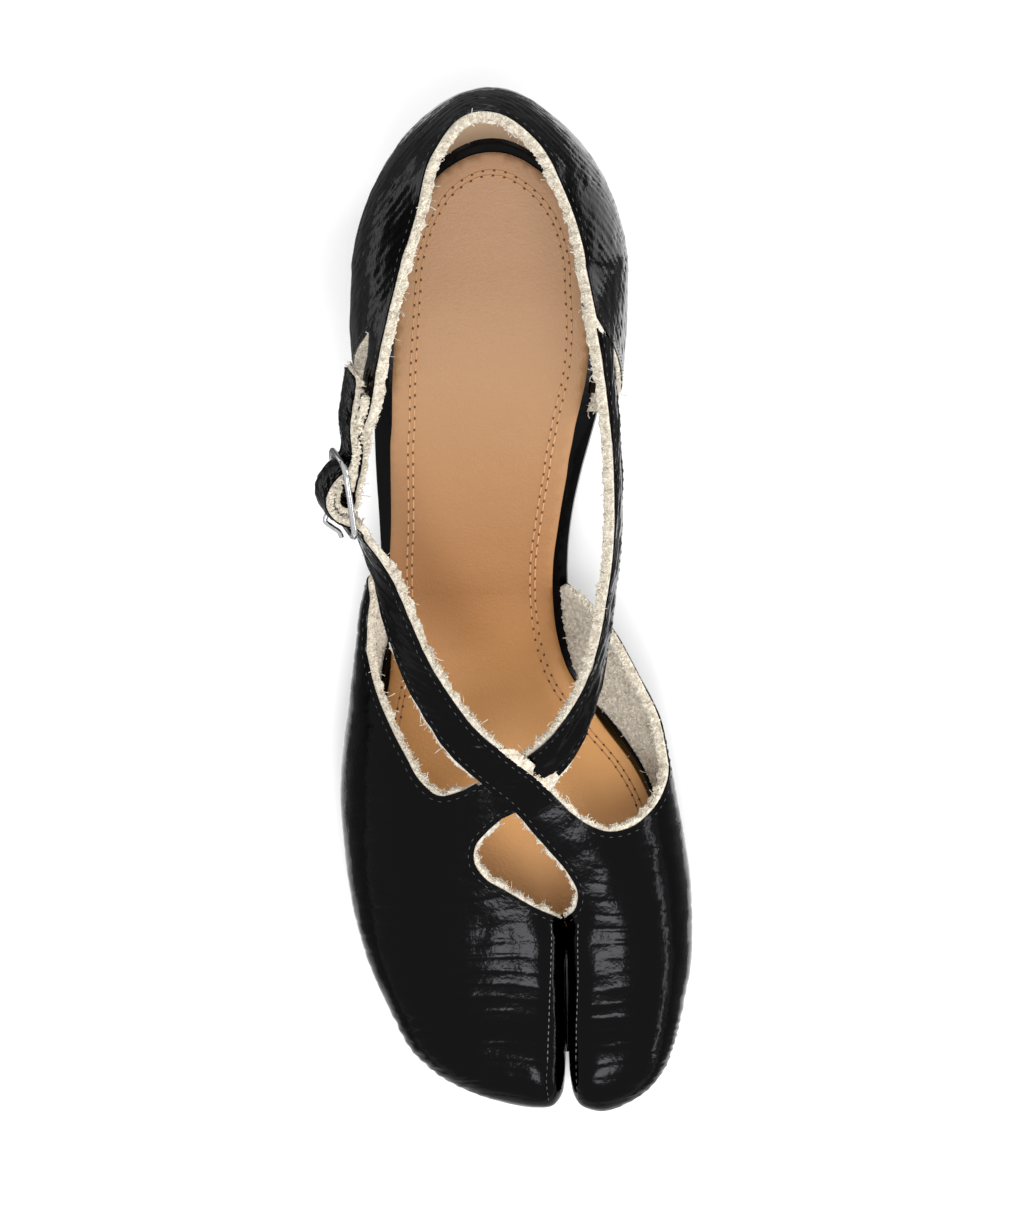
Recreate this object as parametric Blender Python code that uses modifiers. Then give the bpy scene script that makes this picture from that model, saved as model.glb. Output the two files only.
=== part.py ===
"""Tabi pump, right foot: split toe, cut-away waist, two crossed straps, one buckle, block heel.

Lengths in the tables are millimetres; +Y runs to the heel, -X is the outer (little toe) side.
"""
import math

import bmesh
import bpy
import numpy as np
from mathutils import Vector
from mathutils.geometry import delaunay_2d_cdt

MM = 0.001                      # every mesh is scaled to metres by this
SHOE_CENTRE = (-0.88, -3.83)     # middle of the shoe's footprint box, moved onto the world origin

# layers, measured square to the sole's profile
OUTSOLE = 3.5
BOARD_FROM, BOARD_TO = 3.8, 6.0
SOCK_FROM, SOCK_TO = 6.3, 7.5
UPPER_FOOT = 6.3                # the upper's lower edge stands here, above the board
SOCK_INSET = 3.5
SOCK_CLEFT_INSET = 2.6          # the same beside the split, where the wall is thin
HEEL_LEAN = 1.2                 # the counter leans, so the sock keeps further in there
CAP_SLANT = 1.3                 # the same round the toes, whose sections cross the wall at an angle

# upper
WALL = 2.8                      # pile-backed cloth
CLEFT_WALL = 1.4                # turned and skived inside the split
CLEFT_FROM_Y = -72.0            # forward of this
STRAP_WIDTH = 9.2
TAIL_WALL = 2.0
LOOP_WALL = 1.6
STRAP_CROWN = 0.35
STRAP_BLEND = 14.0              # length over which a strap leaves the panel it grows from
TOE_INSET = 3.5                 # how far the toe caps overhang the sole
TOE_CAP_Y = -99.0               # forward of this the sections fan out round each toe
HEEL_CAP_Y = 72.0               # behind this they fan out round the heel
HEEL_AXIS_X = -4.0

# buckle
WIRE = 0.90                     # wire radius
BUCKLE_LENGTH, BUCKLE_HEIGHT = 18.0, 13.0
BUCKLE_CORNER = 3.0
BUCKLE_CENTRE = (-36.3, 23.0, 81.5)
BUCKLE_ALONG = (-0.10, 0.905, 0.41)
BUCKLE_LEAN = math.radians(16)
PRONG = 0.75                    # wire radius
PRONG_RING = 1.95               # its eye round the middle bar

# heel
HEEL_TIP_Z = 5.0                # rubber top piece
HEEL_GAP = 0.3
HEEL_MIDDLE = (-4.2, 80.0)
HEEL_HALF_WIDTH, HEEL_FRONT, HEEL_BACK = 23.8, 22.5, 23.4
HEEL_BASE_SHARE = 0.95          # size at the floor, of the size at the seat

PITCH = 4.8                     # triangle size of the sheets
SOLE_EDGE_PITCH = 4.6
COUNTER_SWELL = 17.0            # height of the counter's widest line above its foot
SEAT_FROM_Y, SEAT_TO_Y = 8.0, 12.0  # the sole's plan passes from the vamp's foot to the side lines


def table(columns, *rows):
    """Rows of numbers under named columns, as one array per name."""
    data = np.array(rows, dtype=float)
    return {name: data[:, i] for i, name in enumerate(columns.split())}


SOLE_PROFILE = table(
    "y z",
    (-124, 7.9), (-117, 5.9), (-108, 3.8), (-98, 1.9), (-88, 0.6), (-78, 0.0), (-66, 0.0), (-52, 0.0),
    (-38, 0.0), (-28, 0.7), (-18, 3.0), (-8, 7.3), (2, 12.5), (12, 18.3), (22, 24.6), (32, 31.0),
    (42, 37.0), (52, 42.2), (60, 45.6), (68, 48.3), (78, 50.5), (92, 53.6), (112, 58.0))

# the sole's own outline, and the widest line of the upper above it
SIDES = table(
    "y out_sole out_wide in_wide in_sole",
    (-99, -26.4, -30.0, 38.7, 35.2), (-86, -32.2, -35.8, 40.9, 37.2), (-77, -35.0, -38.4, 41.1, 37.6),
    (-68, -36.7, -40.1, 40.8, 37.3), (-58, -37.7, -41.2, 39.5, 36.3), (-47, -38.0, -41.9, 37.6, 33.8),
    (-38, -37.1, -41.4, 35.9, 29.2), (-27, -35.4, -40.0, 33.4, 20.8), (-18, -33.6, -38.9, 29.0, 15.5),
    (-10, -32.7, -37.9, 24.6, 13.0), (-2, -32.2, -37.0, 19.4, 11.9), (8, -32.0, -34.4, 14.0, 11.6),
    (20, -32.1, -33.0, 13.6, 13.0), (30, -32.3, -34.0, 17.0, 15.4), (40, -32.2, -34.6, 24.4, 18.4),
    (50, -31.8, -35.1, 25.7, 21.0), (60, -31.0, -35.7, 26.6, 22.0), (72, -30.0, -35.1, 27.0, 21.7))

HEEL_RING = table(              # angle from the outer side, radii about the heel axis, topline height
    "turn sole wide top top_z",
    (0, 26.0, 31.1, 18.3, 104.6), (22, 26.3, 31.4, 17.4, 105.6), (45, 28.3, 33.6, 19.8, 107.4),
    (66, 31.2, 37.6, 26.5, 110.0), (86, 33.0, 41.2, 33.0, 112.0), (94, 33.0, 41.4, 33.2, 112.0),
    (114, 31.0, 37.8, 29.6, 110.2), (135, 28.6, 34.4, 24.8, 107.4), (158, 26.4, 31.8, 22.6, 105.4),
    (180, 25.7, 31.0, 22.7, 104.2))

TOPLINE = table(                # forward of the heel ring, outer and inner topline
    "y out_x in_x z",
    (38, -30.4, 24.2, 94.5), (50, -28.0, 23.0, 99.2), (61, -25.2, 21.0, 102.8), (72, -22.3, 18.7, 104.5))

VAMP = table(                   # heights above the board; swell = the height of the widest line
    "y ridge out_swell in_swell squareness",
    (-99, 22.5, 8.0, 8.0, 2.3), (-88, 25.5, 8.5, 8.5, 2.3), (-76, 29.0, 9.5, 9.5, 2.3),
    (-62, 34.0, 11.0, 11.5, 2.25), (-50, 38.8, 12.5, 15.5, 2.2), (-42, 41.5, 13.5, 19.0, 2.2),
    (-32, 40.0, 14.0, 24.0, 2.2), (-20, 34.0, 13.5, 23.0, 2.2), (-8, 25.0, 10.0, 15.0, 2.2),
    (2, 16.0, 5.0, 7.0, 2.2), (10, 10.0, 3.0, 4.0, 2.2))

OUTER_TOES = table(             # plan outline of the four-toe lobe, round to the split
    "x y", (-35.8, -86), (-30.0, -99), (-25.2, -107.3), (-18.9, -112.9), (-10.0, -117.2), (-1.0, -119.6),
    (5.2, -120.3), (8.4, -119.7), (10.2, -117.6), (11.0, -113.6), (11.2, -106), (11.2, -98), (11.2, -90))

BIG_TOE = table(                # plan outline of the big-toe lobe
    "x y", (40.9, -86), (38.7, -99), (36.5, -107.4), (32.8, -114.2), (27.4, -118.6), (21.6, -120.9),
    (17.8, -121.0), (14.9, -119.7), (13.2, -117.2), (12.4, -113.4), (12.0, -106), (11.9, -98), (11.8, -90))

SPINE = table(                  # where each lobe is highest
    "y outer_x inner_x",
    (-99, -2.0, 22.5), (-86, -2.0, 22.5), (-76, -2.0, 21.5), (-66, -2.5, 17.0), (-56, -2.5, 11.0),
    (-46, -2.0, 4.0), (-36, -2.0, 0.0), (10, -2.0, 0.0))

SPLIT = table(                  # walls of the split; behind the split each half runs on as one hump
    "y outer_x inner_x squareness",
    (-99, 11.2, 11.9, 4.8), (-88, 11.2, 11.8, 4.8), (-80, 11.6, 11.2, 4.8), (-76.5, 11.9, 10.9, 3.8),
    (-73, 15.0, 7.0, 3.0), (-68, 21.0, -3.0, 2.5), (-60, 29.0, -17.0, 2.3), (-50, 35.0, -31.0, 2.2),
    (-40, 36.0, -38.0, 2.2), (10, 30.0, -34.0, 2.2))

# openings in the vamp, in plan
KEYHOLE_OUTER = ((10.9, -75.6), (5.2, -72.6), (-1.6, -68.6), (-7.2, -65.0), (-9.3, -61.4), (-8.9, -57.6),
                 (-5.8, -53.8))
KEYHOLE_INNER = ((11.3, -75.6), (13.9, -72.6), (14.6, -69.0), (12.6, -64.4), (8.6, -59.3), (4.2, -54.2))
OUTER_TOPLINE = ((-8.4, -42.9), (-12.6, -45.0), (-17.4, -45.9), (-21.2, -43.0), (-25.4, -36.2),
                 (-29.6, -28.6), (-33.0, -20.8), (-35.2, -12.6))
INNER_TOPLINE = ((35.2, -31.6), (35.9, -38.6), (34.9, -45.0), (31.6, -50.0), (27.4, -53.2), (22.0, -54.3),
                 (16.8, -52.4), (12.8, -49.4))

SPLIT_END_Y = -78.5             # where the two walls of the split meet
SLOT_END_Y = -84.0              # where the sole's own slot ends

# where an edge runs down to the sole: y, and how far down the section
OUTER_WING = ((-5.0, 0.68), (0.5, 0.74), (3.6, 0.83), (5.6, 0.93), (6.6, 1.0))
INNER_WING = ((-24.0, 0.61), (-16.0, 0.61), (-9.4, 0.63), (-4.5, 0.69), (-0.8, 0.80), (2.0, 0.92), (3.4, 1.0))
COUNTER_OUTER_FRONT = ((57.6, 0.22), (55.2, 0.38), (52.4, 0.6), (49.8, 0.8), (47.8, 1.0))
COUNTER_INNER_FRONT = ((61.0, 0.0), (58.8, 0.07), (56.0, 0.2), (52.2, 0.42), (48.2, 0.65), (42.8, 1.0))

# straps: middle of the black face, and the direction from its lower to its upper edge
STRAP_OVER = table(             # from the big-toe side over the instep to the buckle
    "x y z wx wy wz",
    (7.4, -50.4, 45.4, 0.74, 0.66, 0.08), (3.3, -46.0, 48.2, 0.73, 0.66, 0.16),
    (-4.0, -39.6, 53.0, 0.70, 0.66, 0.28), (-10.9, -33.3, 57.0, 0.72, 0.56, 0.40),
    (-16.5, -25.4, 60.4, 0.76, 0.38, 0.52), (-21.7, -15.8, 63.9, 0.74, 0.22, 0.63),
    (-25.6, -5.2, 68.4, 0.66, 0.10, 0.74), (-28.3, 3.6, 72.3, 0.54, -0.06, 0.84),
    (-31.0, 9.6, 75.0, 0.42, -0.22, 0.88))
STRAP_UNDER = table(            # from under the crossing up the inner side to the heel counter
    "x y z wx wy wz",
    (-7.4, -48.3, 45.8, -0.42, 0.89, 0.10), (-1.6, -45.6, 46.9, -0.46, 0.86, 0.18),
    (4.6, -41.2, 49.0, -0.52, 0.78, 0.32), (9.9, -36.4, 51.8, -0.52, 0.66, 0.52),
    (14.0, -30.8, 55.0, -0.45, 0.50, 0.74), (17.4, -24.4, 58.4, -0.36, 0.30, 0.88),
    (20.0, -17.0, 62.0, -0.28, 0.08, 0.95), (21.8, -9.4, 65.6, -0.22, -0.12, 0.96),
    (23.3, 0.0, 70.0, -0.18, -0.24, 0.95), (24.7, 10.0, 74.8, -0.16, -0.33, 0.93),
    (25.2, 22.0, 80.4, -0.15, -0.38, 0.92), (24.9, 34.0, 86.2, -0.15, -0.40, 0.91),
    (23.9, 46.0, 91.4, -0.18, -0.40, 0.90), (22.7, 56.0, 95.2, -0.22, -0.33, 0.92),
    (20.9, 66.0, 97.6, -0.26, -0.24, 0.93))
STRAP_REAR = table(             # from the outer topline forward to the buckle
    "x y z wx wy wz",
    (-26.9, 60.0, 98.2, 0.24, -0.30, 0.92), (-29.2, 51.0, 94.2, 0.26, -0.38, 0.89),
    (-31.2, 42.4, 90.2, 0.29, -0.38, 0.88))
BUCKLE_PASS = table(            # the over-strap through the buckle: along it, and out from its plane
    "along out",
    (-10.6, -2.2), (-9.0, -1.95), (-7.2, -0.7), (-5.7, 1.9), (-3.6, 4.2), (0.0, 5.4), (3.6, 4.2), (5.9, 2.0),
    (7.6, -0.6), (9.2, -1.8), (12.0, -2.1), (16.6, -2.4), (20.0, -3.2), (23.2, -4.2), (28.2, -5.5))
BUCKLE_LOOP = table(            # the rear strap's end, folded round the middle bar
    "along out",
    (16.0, -5.3), (12.0, -4.7), (9.0, -4.2), (6.0, -3.3), (3.4, -2.3), (1.4, -1.6), (0.0, -1.4),
    (-0.99, -0.99), (-1.4, 0.0), (-0.99, 0.99), (0.0, 1.4), (1.6, 1.2), (3.4, 0.4))
PASS_STRETCH, LOOP_STRETCH = 2.6, 5.0   # finer triangles where a strap bends sharply


# ---------------------------------------------------------------- curves and tables
def smooth(at, keys, values):
    """Cubic through (keys, values), level beyond the ends."""
    at = np.clip(np.asarray(at, dtype=float), keys[0], keys[-1])
    slope = np.gradient(values, keys)
    i = np.clip(np.searchsorted(keys, at) - 1, 0, len(keys) - 2)
    span = keys[i + 1] - keys[i]
    t = (at - keys[i]) / span
    rise = (1 + 2 * t) * (1 - t) ** 2 * values[i] + t * t * (3 - 2 * t) * values[i + 1]
    return rise + span * (t * (1 - t) ** 2 * slope[i] - t * t * (1 - t) * slope[i + 1])


def read(tab, column, at, key="y"):
    return smooth(at, tab[key], tab[column])


def chord(points):
    """Running length along a row of points."""
    steps = np.linalg.norm(np.diff(points, axis=0), axis=1)
    return np.concatenate(([0.0], np.cumsum(steps)))


def curve(points, pitch):
    """A smooth curve through the points, sampled about every pitch, both ends kept."""
    points = np.array(points, dtype=float)
    run = chord(points)
    at = np.linspace(0, run[-1], max(2, int(round(run[-1] / pitch)) + 1))
    return np.stack([smooth(at, run, points[:, k]) for k in range(points.shape[1])], axis=1)


def ramp(value, start, end):
    t = np.clip((value - start) / (end - start), 0, 1)
    return t * t * (3 - 2 * t)


def unit(v):
    return v / np.linalg.norm(v, axis=-1, keepdims=True)


def layer_height(y, offset):
    """Height at y of the line that runs `offset` above the sole's underside, square to it."""
    line_y = np.linspace(-124, 112, 473)
    line_z = np.maximum(smooth(line_y, SOLE_PROFILE["y"], SOLE_PROFILE["z"]), 0)   # flat tread
    slope = np.gradient(line_z, line_y)
    lean = np.sqrt(1 + slope ** 2)
    return np.interp(y, line_y - offset * slope / lean, line_z + offset / lean)


# ---------------------------------------------------------------- sheets
def inside(points, loop):
    """Which points lie in a closed loop, by counting crossings."""
    ax, ay = loop[:, 0], loop[:, 1]
    bx, by = np.roll(ax, -1), np.roll(ay, -1)
    px, py = points[:, :1], points[:, 1:2]
    spans = (ay > py) != (by > py)
    with np.errstate(divide="ignore", invalid="ignore"):
        cross = ax + (py - ay) * (bx - ax) / (by - ay)
    return (spans & (px < cross)).sum(axis=1) % 2 == 1


def triangulate(loop, pitch, clear=0.55):
    """Even triangles inside a closed loop of flat points."""
    low, high = loop.min(axis=0), loop.max(axis=0)
    rows = np.arange(low[1], high[1], pitch * 0.866)
    grid = [np.stack([np.arange(low[0] + (k % 2) * pitch / 2, high[0], pitch),
                      np.full(len(np.arange(low[0] + (k % 2) * pitch / 2, high[0], pitch)), y)], axis=1)
            for k, y in enumerate(rows)]
    grid = np.concatenate(grid)
    grid = grid[inside(grid, loop)]
    away = np.min(np.linalg.norm(grid[:, None] - loop[None], axis=2), axis=1)
    points = np.concatenate([loop, grid[away > clear * pitch]])
    edges = [(i, (i + 1) % len(loop)) for i in range(len(loop))]
    verts, _, faces, *_ = delaunay_2d_cdt([Vector(p) for p in points], edges, [], 0, 1e-5)
    flat = np.array([(v.x, v.y) for v in verts])
    faces = np.array([f for f in faces if len(f) == 3])
    faces = faces[inside(flat[faces].mean(axis=1), loop)]
    one, two = flat[faces[:, 1]] - flat[faces[:, 0]], flat[faces[:, 2]] - flat[faces[:, 0]]
    turned = one[:, 0] * two[:, 1] - one[:, 1] * two[:, 0] < 0
    faces[turned] = faces[turned][:, ::-1]
    return flat, faces


def new_object(name, bm, collection, closed=True):
    """Object from a bmesh; a closed one gets its faces outwards."""
    if closed and bm.calc_volume(signed=True) < 0:
        bmesh.ops.reverse_faces(bm, faces=bm.faces[:])
    mesh = bpy.data.meshes.new(name)
    bm.to_mesh(mesh)
    bm.free()
    obj = bpy.data.objects.new(name, mesh)
    collection.objects.link(obj)
    return obj


def mesh_from(points, faces):
    bm = bmesh.new()
    verts = [bm.verts.new(Vector(p) * MM) for p in points]
    for f in faces:
        bm.faces.new([verts[i] for i in f])
    return bm


def shell(name, loop, place, wall, collection, pitch=PITCH):
    """A thick sheet: the loop is filled, put in place, and given its wall inwards."""
    flat, faces = triangulate(loop, pitch)
    obj = new_object(name, mesh_from(place(flat), faces), collection, closed=False)
    obj.data.shade_smooth()
    thick = wall(flat)
    group = obj.vertex_groups.new(name="wall")
    for i, value in enumerate(thick / WALL):
        group.add([i], float(value), "REPLACE")
    solid = obj.modifiers.new("wall", "SOLIDIFY")
    solid.thickness = WALL * MM
    solid.offset = -1
    solid.use_quality_normals = True
    solid.vertex_group = "wall"
    return obj


# ---------------------------------------------------------------- sections fanned round an end
CAP_RUN = 90.0                  # how much station length the half turn round an end is given
SAMPLES = 72


class Fan:
    """Sections square to a centre line, fanned round its end like the ribs of a half dome.

    A flat point (x, y) lies beside the centre line at `start + length down the section`;
    `place` puts it on the section itself.
    """

    def __init__(self, axis, end_y, sense, reach_y):
        self.axis, self.end_y, self.sense = axis, end_y, sense
        body = np.arange(0, abs(reach_y - end_y) + 1.5, 1.5)
        turn = np.linspace(0, 180, 61)
        self.side = np.concatenate([-np.ones(len(body)), np.zeros(61), np.ones(len(body))])
        self.y = np.concatenate([end_y - sense * body[::-1], np.full(61, end_y), end_y - sense * body])
        self.turn = np.concatenate([np.zeros(len(body)), turn, np.full(len(body), 180.0)])
        self.station = np.concatenate([-body[::-1] - 1e-6, turn / 180 * CAP_RUN, CAP_RUN + body + 1e-6])
        self.centre_x = axis(self.y)

    def ends(self, radius):
        """Plan y of points at this radius along each station."""
        return self.y + self.sense * radius * np.sin(np.radians(self.turn)) * (self.side == 0)

    def set_sections(self, radius, height, start):
        """Section points from the top down, resampled to even steps."""
        self.start = start
        run = np.concatenate([np.zeros((len(radius), 1)), np.cumsum(np.hypot(
            np.diff(radius, axis=1), np.diff(height, axis=1)), axis=1)], axis=1)
        self.length = run[:, -1]
        even = np.linspace(0, 1, SAMPLES)
        self.radius = np.stack([np.interp(even * n[-1], n, r) for n, r in zip(run, radius)])
        self.height = np.stack([np.interp(even * n[-1], n, h) for n, h in zip(run, height)])

    def locate(self, flat):
        """Station, distance from the centre line, and direction of each flat point."""
        x, y = flat[:, 0], flat[:, 1]
        past = self.sense * (y - self.end_y)
        axis_x = self.axis(np.where(past > 0, self.end_y, y))
        dx, dy = x - axis_x, np.where(past > 0, y - self.end_y, 0.0)
        away = np.hypot(dx, dy)
        turn = np.arctan2(self.sense * dy, -dx)
        body = np.where(dx < 0, past, CAP_RUN - past)
        station = np.where(past > 0, turn / math.pi * CAP_RUN, body)
        direction = np.stack([dx, dy], axis=1) / np.maximum(away, 1e-6)[:, None]
        centre = np.stack([axis_x, np.where(past > 0, self.end_y, y)], axis=1)
        return station, away, direction, centre

    def along(self, values, station):
        return np.interp(station, self.station, values)

    def down(self, station, away):
        """Fraction of the section's length."""
        return (away - self.along(self.start, station)) / self.along(self.length, station)

    def place(self, flat):
        station, away, direction, centre = self.locate(flat)
        g = np.clip(self.down(station, away), 0, 1) * (SAMPLES - 1)
        j = np.minimum(g.astype(int), SAMPLES - 2)
        i = np.clip(np.searchsorted(self.station, station) - 1, 0, len(self.station) - 2)
        s = np.clip((station - self.station[i]) / (self.station[i + 1] - self.station[i]), 0, 1)
        t = g - j

        def blend(grid):
            near = grid[i, j] * (1 - t) + grid[i, j + 1] * t
            far = grid[i + 1, j] * (1 - t) + grid[i + 1, j + 1] * t
            return near * (1 - s) + far * s

        plan = centre + direction * blend(self.radius)[:, None]
        return np.column_stack([plan, blend(self.height)])

    def flat_at(self, y, side, fraction):
        """Flat point beside the centre line at y, a fraction of the way down its section."""
        y, fraction = np.broadcast_arrays(np.asarray(y, float), np.asarray(fraction, float))
        past = self.sense * (y - self.end_y)
        station = np.where(side < 0, past, CAP_RUN - past)
        away = self.along(self.start, station) + fraction * self.along(self.length, station)
        return np.stack([self.axis(y) + side * away, y], axis=-1)

    def flat_from_plan(self, points):
        """Flat points under which the upper part of the sections has these plan places."""
        out = []
        for x, y in points:
            side = -1 if x < self.axis(np.array(y)) else 1
            fractions = np.linspace(0, 1, 400)
            line = self.place(self.flat_at(y, side, fractions))
            climb = np.maximum.accumulate(side * line[:, 0])
            top = np.argmax(side * line[:, 0])
            hit = np.interp(side * x, climb[:top + 1], fractions[:top + 1])
            out.append(self.flat_at(y, side, hit))
        return np.array(out)

    def rim(self, fraction, y_from, y_to, pitch):
        """Flat curve at one fraction down, from the low-x side at y_from round to y_to."""
        first = self.sense * (y_from - self.end_y)
        last = CAP_RUN - self.sense * (y_to - self.end_y)
        station = np.linspace(first, last, 600)
        away = self.along(self.start, station) + fraction * self.along(self.length, station)
        angle = np.radians(np.clip(station / CAP_RUN, 0, 1) * 180)
        y = self.end_y - self.sense * (np.maximum(-station, 0) + np.maximum(station - CAP_RUN, 0))
        x = self.axis(y) - away * np.cos(angle)
        return curve(np.column_stack([x, y + self.sense * away * np.sin(angle)]), pitch)


def dome(reach, foot, top, swell, floor, squareness):
    """Section over a toe: from the ridge out to the widest line, then in to the sole."""
    a = np.linspace(0, math.pi / 2, 90)[None]
    power = 2 / squareness[:, None]
    radius = reach[:, None] * np.sin(a) ** power
    height = swell[:, None] + (top - swell)[:, None] * np.maximum(np.cos(a), 0) ** power
    v = np.linspace(0.04, 1, 30)[None]
    tuck = reach[:, None] - (reach - foot)[:, None] * v ** 1.6
    fall = swell[:, None] - (swell - floor)[:, None] * v
    return np.concatenate([radius, tuck], axis=1), np.concatenate([height, fall], axis=1)


def toe_fan(outline, spine, split, outer):
    """Sections of one lobe of the vamp; `outer` is the four-toe lobe."""
    fan = Fan(lambda y: read(SPINE, spine, y), TOE_CAP_Y, -1, 10.0)
    ring = curve(np.column_stack([outline["x"], outline["y"]]), 0.5)
    polar = np.degrees(np.arctan2(TOE_CAP_Y - ring[:, 1], fan.axis(TOE_CAP_Y) - ring[:, 0]))
    order = np.argsort(polar)
    away = np.hypot(ring[:, 0] - fan.axis(TOE_CAP_Y), ring[:, 1] - TOE_CAP_Y)
    cap = np.interp(fan.turn, polar[order], away[order])
    open_side, name = (-1, "out") if outer else (1, "in")
    on_open, on_split = fan.side == open_side, fan.side == -open_side
    wide = open_side * (read(SIDES, name + "_wide", fan.y) - fan.centre_x)
    wall = -open_side * (read(SPLIT, split, fan.y) - fan.centre_x)
    reach = np.where(on_open, wide, np.where(on_split, np.maximum(wall, 2.0), cap))
    to_split = fan.turn / 180 if outer else 1 - fan.turn / 180
    sole = open_side * (read(SIDES, name + "_sole", fan.y) - fan.centre_x)
    inset = np.where(on_open, wide - sole, TOE_INSET)
    inset = inset * (1 - ramp(to_split, 0.82, 0.97)) * ~on_split
    foot = reach - inset
    floor = layer_height(fan.ends(foot), UPPER_FOOT)
    top = layer_height(fan.y, UPPER_FOOT) + read(VAMP, "ridge", fan.y)
    swell = layer_height(fan.ends(reach), UPPER_FOOT) + read(VAMP, name + "_swell", fan.y)
    swell = np.minimum(swell, top - 4)
    square = read(VAMP, "squareness", fan.y)
    near_split = np.where(on_split, 1, ramp(to_split, 0.5, 1))
    square = square + (read(SPLIT, "squareness", fan.y) - square) * near_split
    fan.set_sections(*dome(reach, foot, top, swell, floor, square), np.zeros(len(reach)))
    return fan


def heel_fan():
    """Sections of the heel counter, from the topline down to the sole."""
    fan = Fan(lambda y: np.zeros_like(np.asarray(y, float)) + HEEL_AXIS_X, HEEL_CAP_Y, 1, 36.0)
    left, cap = fan.side < 0, fan.side == 0

    def pick(ring, out_side, in_side, tab):
        out_radius = HEEL_AXIS_X - read(tab, out_side, fan.y)
        in_radius = read(tab, in_side, fan.y) - HEEL_AXIS_X
        return np.where(cap, read(HEEL_RING, ring, fan.turn, "turn"), np.where(left, out_radius, in_radius))

    top, wide = pick("top", "out_x", "in_x", TOPLINE), pick("wide", "out_wide", "in_wide", SIDES)
    foot = pick("sole", "out_sole", "in_sole", SIDES)
    top_z = np.where(cap, read(HEEL_RING, "top_z", fan.turn, "turn"), read(TOPLINE, "z", fan.y))
    floor = layer_height(fan.ends(foot), UPPER_FOOT)
    swell = floor + COUNTER_SWELL
    v = np.linspace(0, 1, 60)[None]
    radius = wide[:, None] - (wide - top)[:, None] * (1 - v) ** 1.75
    height = top_z[:, None] - (top_z - swell)[:, None] * v
    w = v[:, 1:]
    tuck = wide[:, None] - (wide - foot)[:, None] * w ** 1.8
    fall = swell[:, None] - COUNTER_SWELL * w
    start = np.where(cap, top, np.where(left, top[fan.side < 0][-1], top[fan.side > 0][0]))
    fan.set_sections(np.concatenate([radius, tuck], axis=1), np.concatenate([height, fall], axis=1), start)
    return fan


# ---------------------------------------------------------------- straps
def buckle_axes():
    """Along the strap, across it upwards, and out from the shoe."""
    along = unit(np.array(BUCKLE_ALONG))
    up = unit(np.array([0.0, 0.0, 1.0]) - along * along[2])
    out = np.cross(up, along)
    out = out if out[0] < 0 else -out
    lean_out = out * math.cos(BUCKLE_LEAN) + up * math.sin(BUCKLE_LEAN)
    lean_up = up * math.cos(BUCKLE_LEAN) - out * math.sin(BUCKLE_LEAN)
    return along, lean_up, lean_out


def at_buckle(along, across, out):
    axes = buckle_axes()
    return np.array(BUCKLE_CENTRE) + along * axes[0] + across * axes[1] + out * axes[2]


class Strap:
    """A band with a middle line and a width direction, laid out flat from `root` along `heading`.

    Its upper edge lies left of the heading where `hand` is 1, and right of it where it is -1.
    """

    def __init__(self, rows, bend, stretch, root, heading, hand):
        middle = np.column_stack([rows["x"], rows["y"], rows["z"]])
        width = np.column_stack([rows["wx"], rows["wy"], rows["wz"]])
        steps = chord(middle)
        if bend is not None:
            tail = np.array([at_buckle(a, 0, o) for a, o in zip(bend["along"], bend["out"])])
            join = steps[-1] + np.linalg.norm(tail[0] - middle[-1])
            steps = np.concatenate([steps, join + stretch * chord(tail)])
            middle = np.concatenate([middle, tail])
            width = np.concatenate([width, np.tile(buckle_axes()[1], (len(tail), 1))])
        self.run, self.middle, self.width = steps, middle, width
        self.bend_run = steps[len(rows["x"])] if bend is not None else steps[-1]
        self.root, self.heading = np.array(root, float), unit(np.array(heading, float))
        self.hand = hand
        self.across = hand * np.array([-self.heading[1], self.heading[0]])

    def coordinates(self, flat):
        offset = flat - self.root
        return offset @ self.heading, offset @ self.across

    def flat(self, run, across):
        return self.root + run * self.heading + across * self.across

    def line(self, run):
        return np.stack([smooth(run, self.run, self.middle[:, k]) for k in range(3)], axis=-1)

    def place(self, run, across):
        wide = unit(np.stack([smooth(run, self.run, self.width[:, k]) for k in range(3)], axis=-1))
        ahead = unit(self.line(run + 0.4) - self.line(run - 0.4) + 1e-9)
        facing = unit(np.cross(ahead, wide)) * self.hand
        swell = STRAP_CROWN * (1 - (2 * across / STRAP_WIDTH) ** 2)
        return self.line(run) + across[:, None] * wide + swell[:, None] * facing


def blended(base, strap):
    """Puts flat points on the fan, and past the strap's root on the strap."""
    def place(flat):
        run, across = strap.coordinates(flat)
        share = ramp(run, 0, STRAP_BLEND) * (np.abs(across) < STRAP_WIDTH * 0.75) * (run > 0)
        on_base = base.place(flat)
        on_strap = strap.place(np.maximum(run, 0), across)
        return on_base * (1 - share)[:, None] + on_strap * share[:, None]
    return place


# ---------------------------------------------------------------- the upper's three sheets
def loop_of(*stretches, pitch=PITCH):
    """One closed loop from stretches of flat points, each sampled by itself; shared ends merge."""
    points = np.concatenate([curve(s, pitch) for s in stretches])
    nearest = np.linalg.norm(points - np.roll(points, 1, axis=0), axis=1)
    return points[nearest > 0.25 * pitch]


def strap_edge(strap, across, run_from, run_to):
    return np.array([strap.flat(run_from, across), strap.flat(run_to, across)])


def tip_of(strap, run, radius):
    """Rounded end of a strap, from its upper to its lower edge."""
    half, middle = STRAP_WIDTH / 2, run - radius
    arc = [(middle + radius * math.sin(a), radius * (1 - math.cos(a))) for a in np.radians((0, 30, 60, 90))]
    upper = [strap.flat(at, half - drop) for at, drop in arc]
    lower = [strap.flat(at, drop - half) for at, drop in arc]
    return np.array(upper + lower[::-1])


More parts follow.
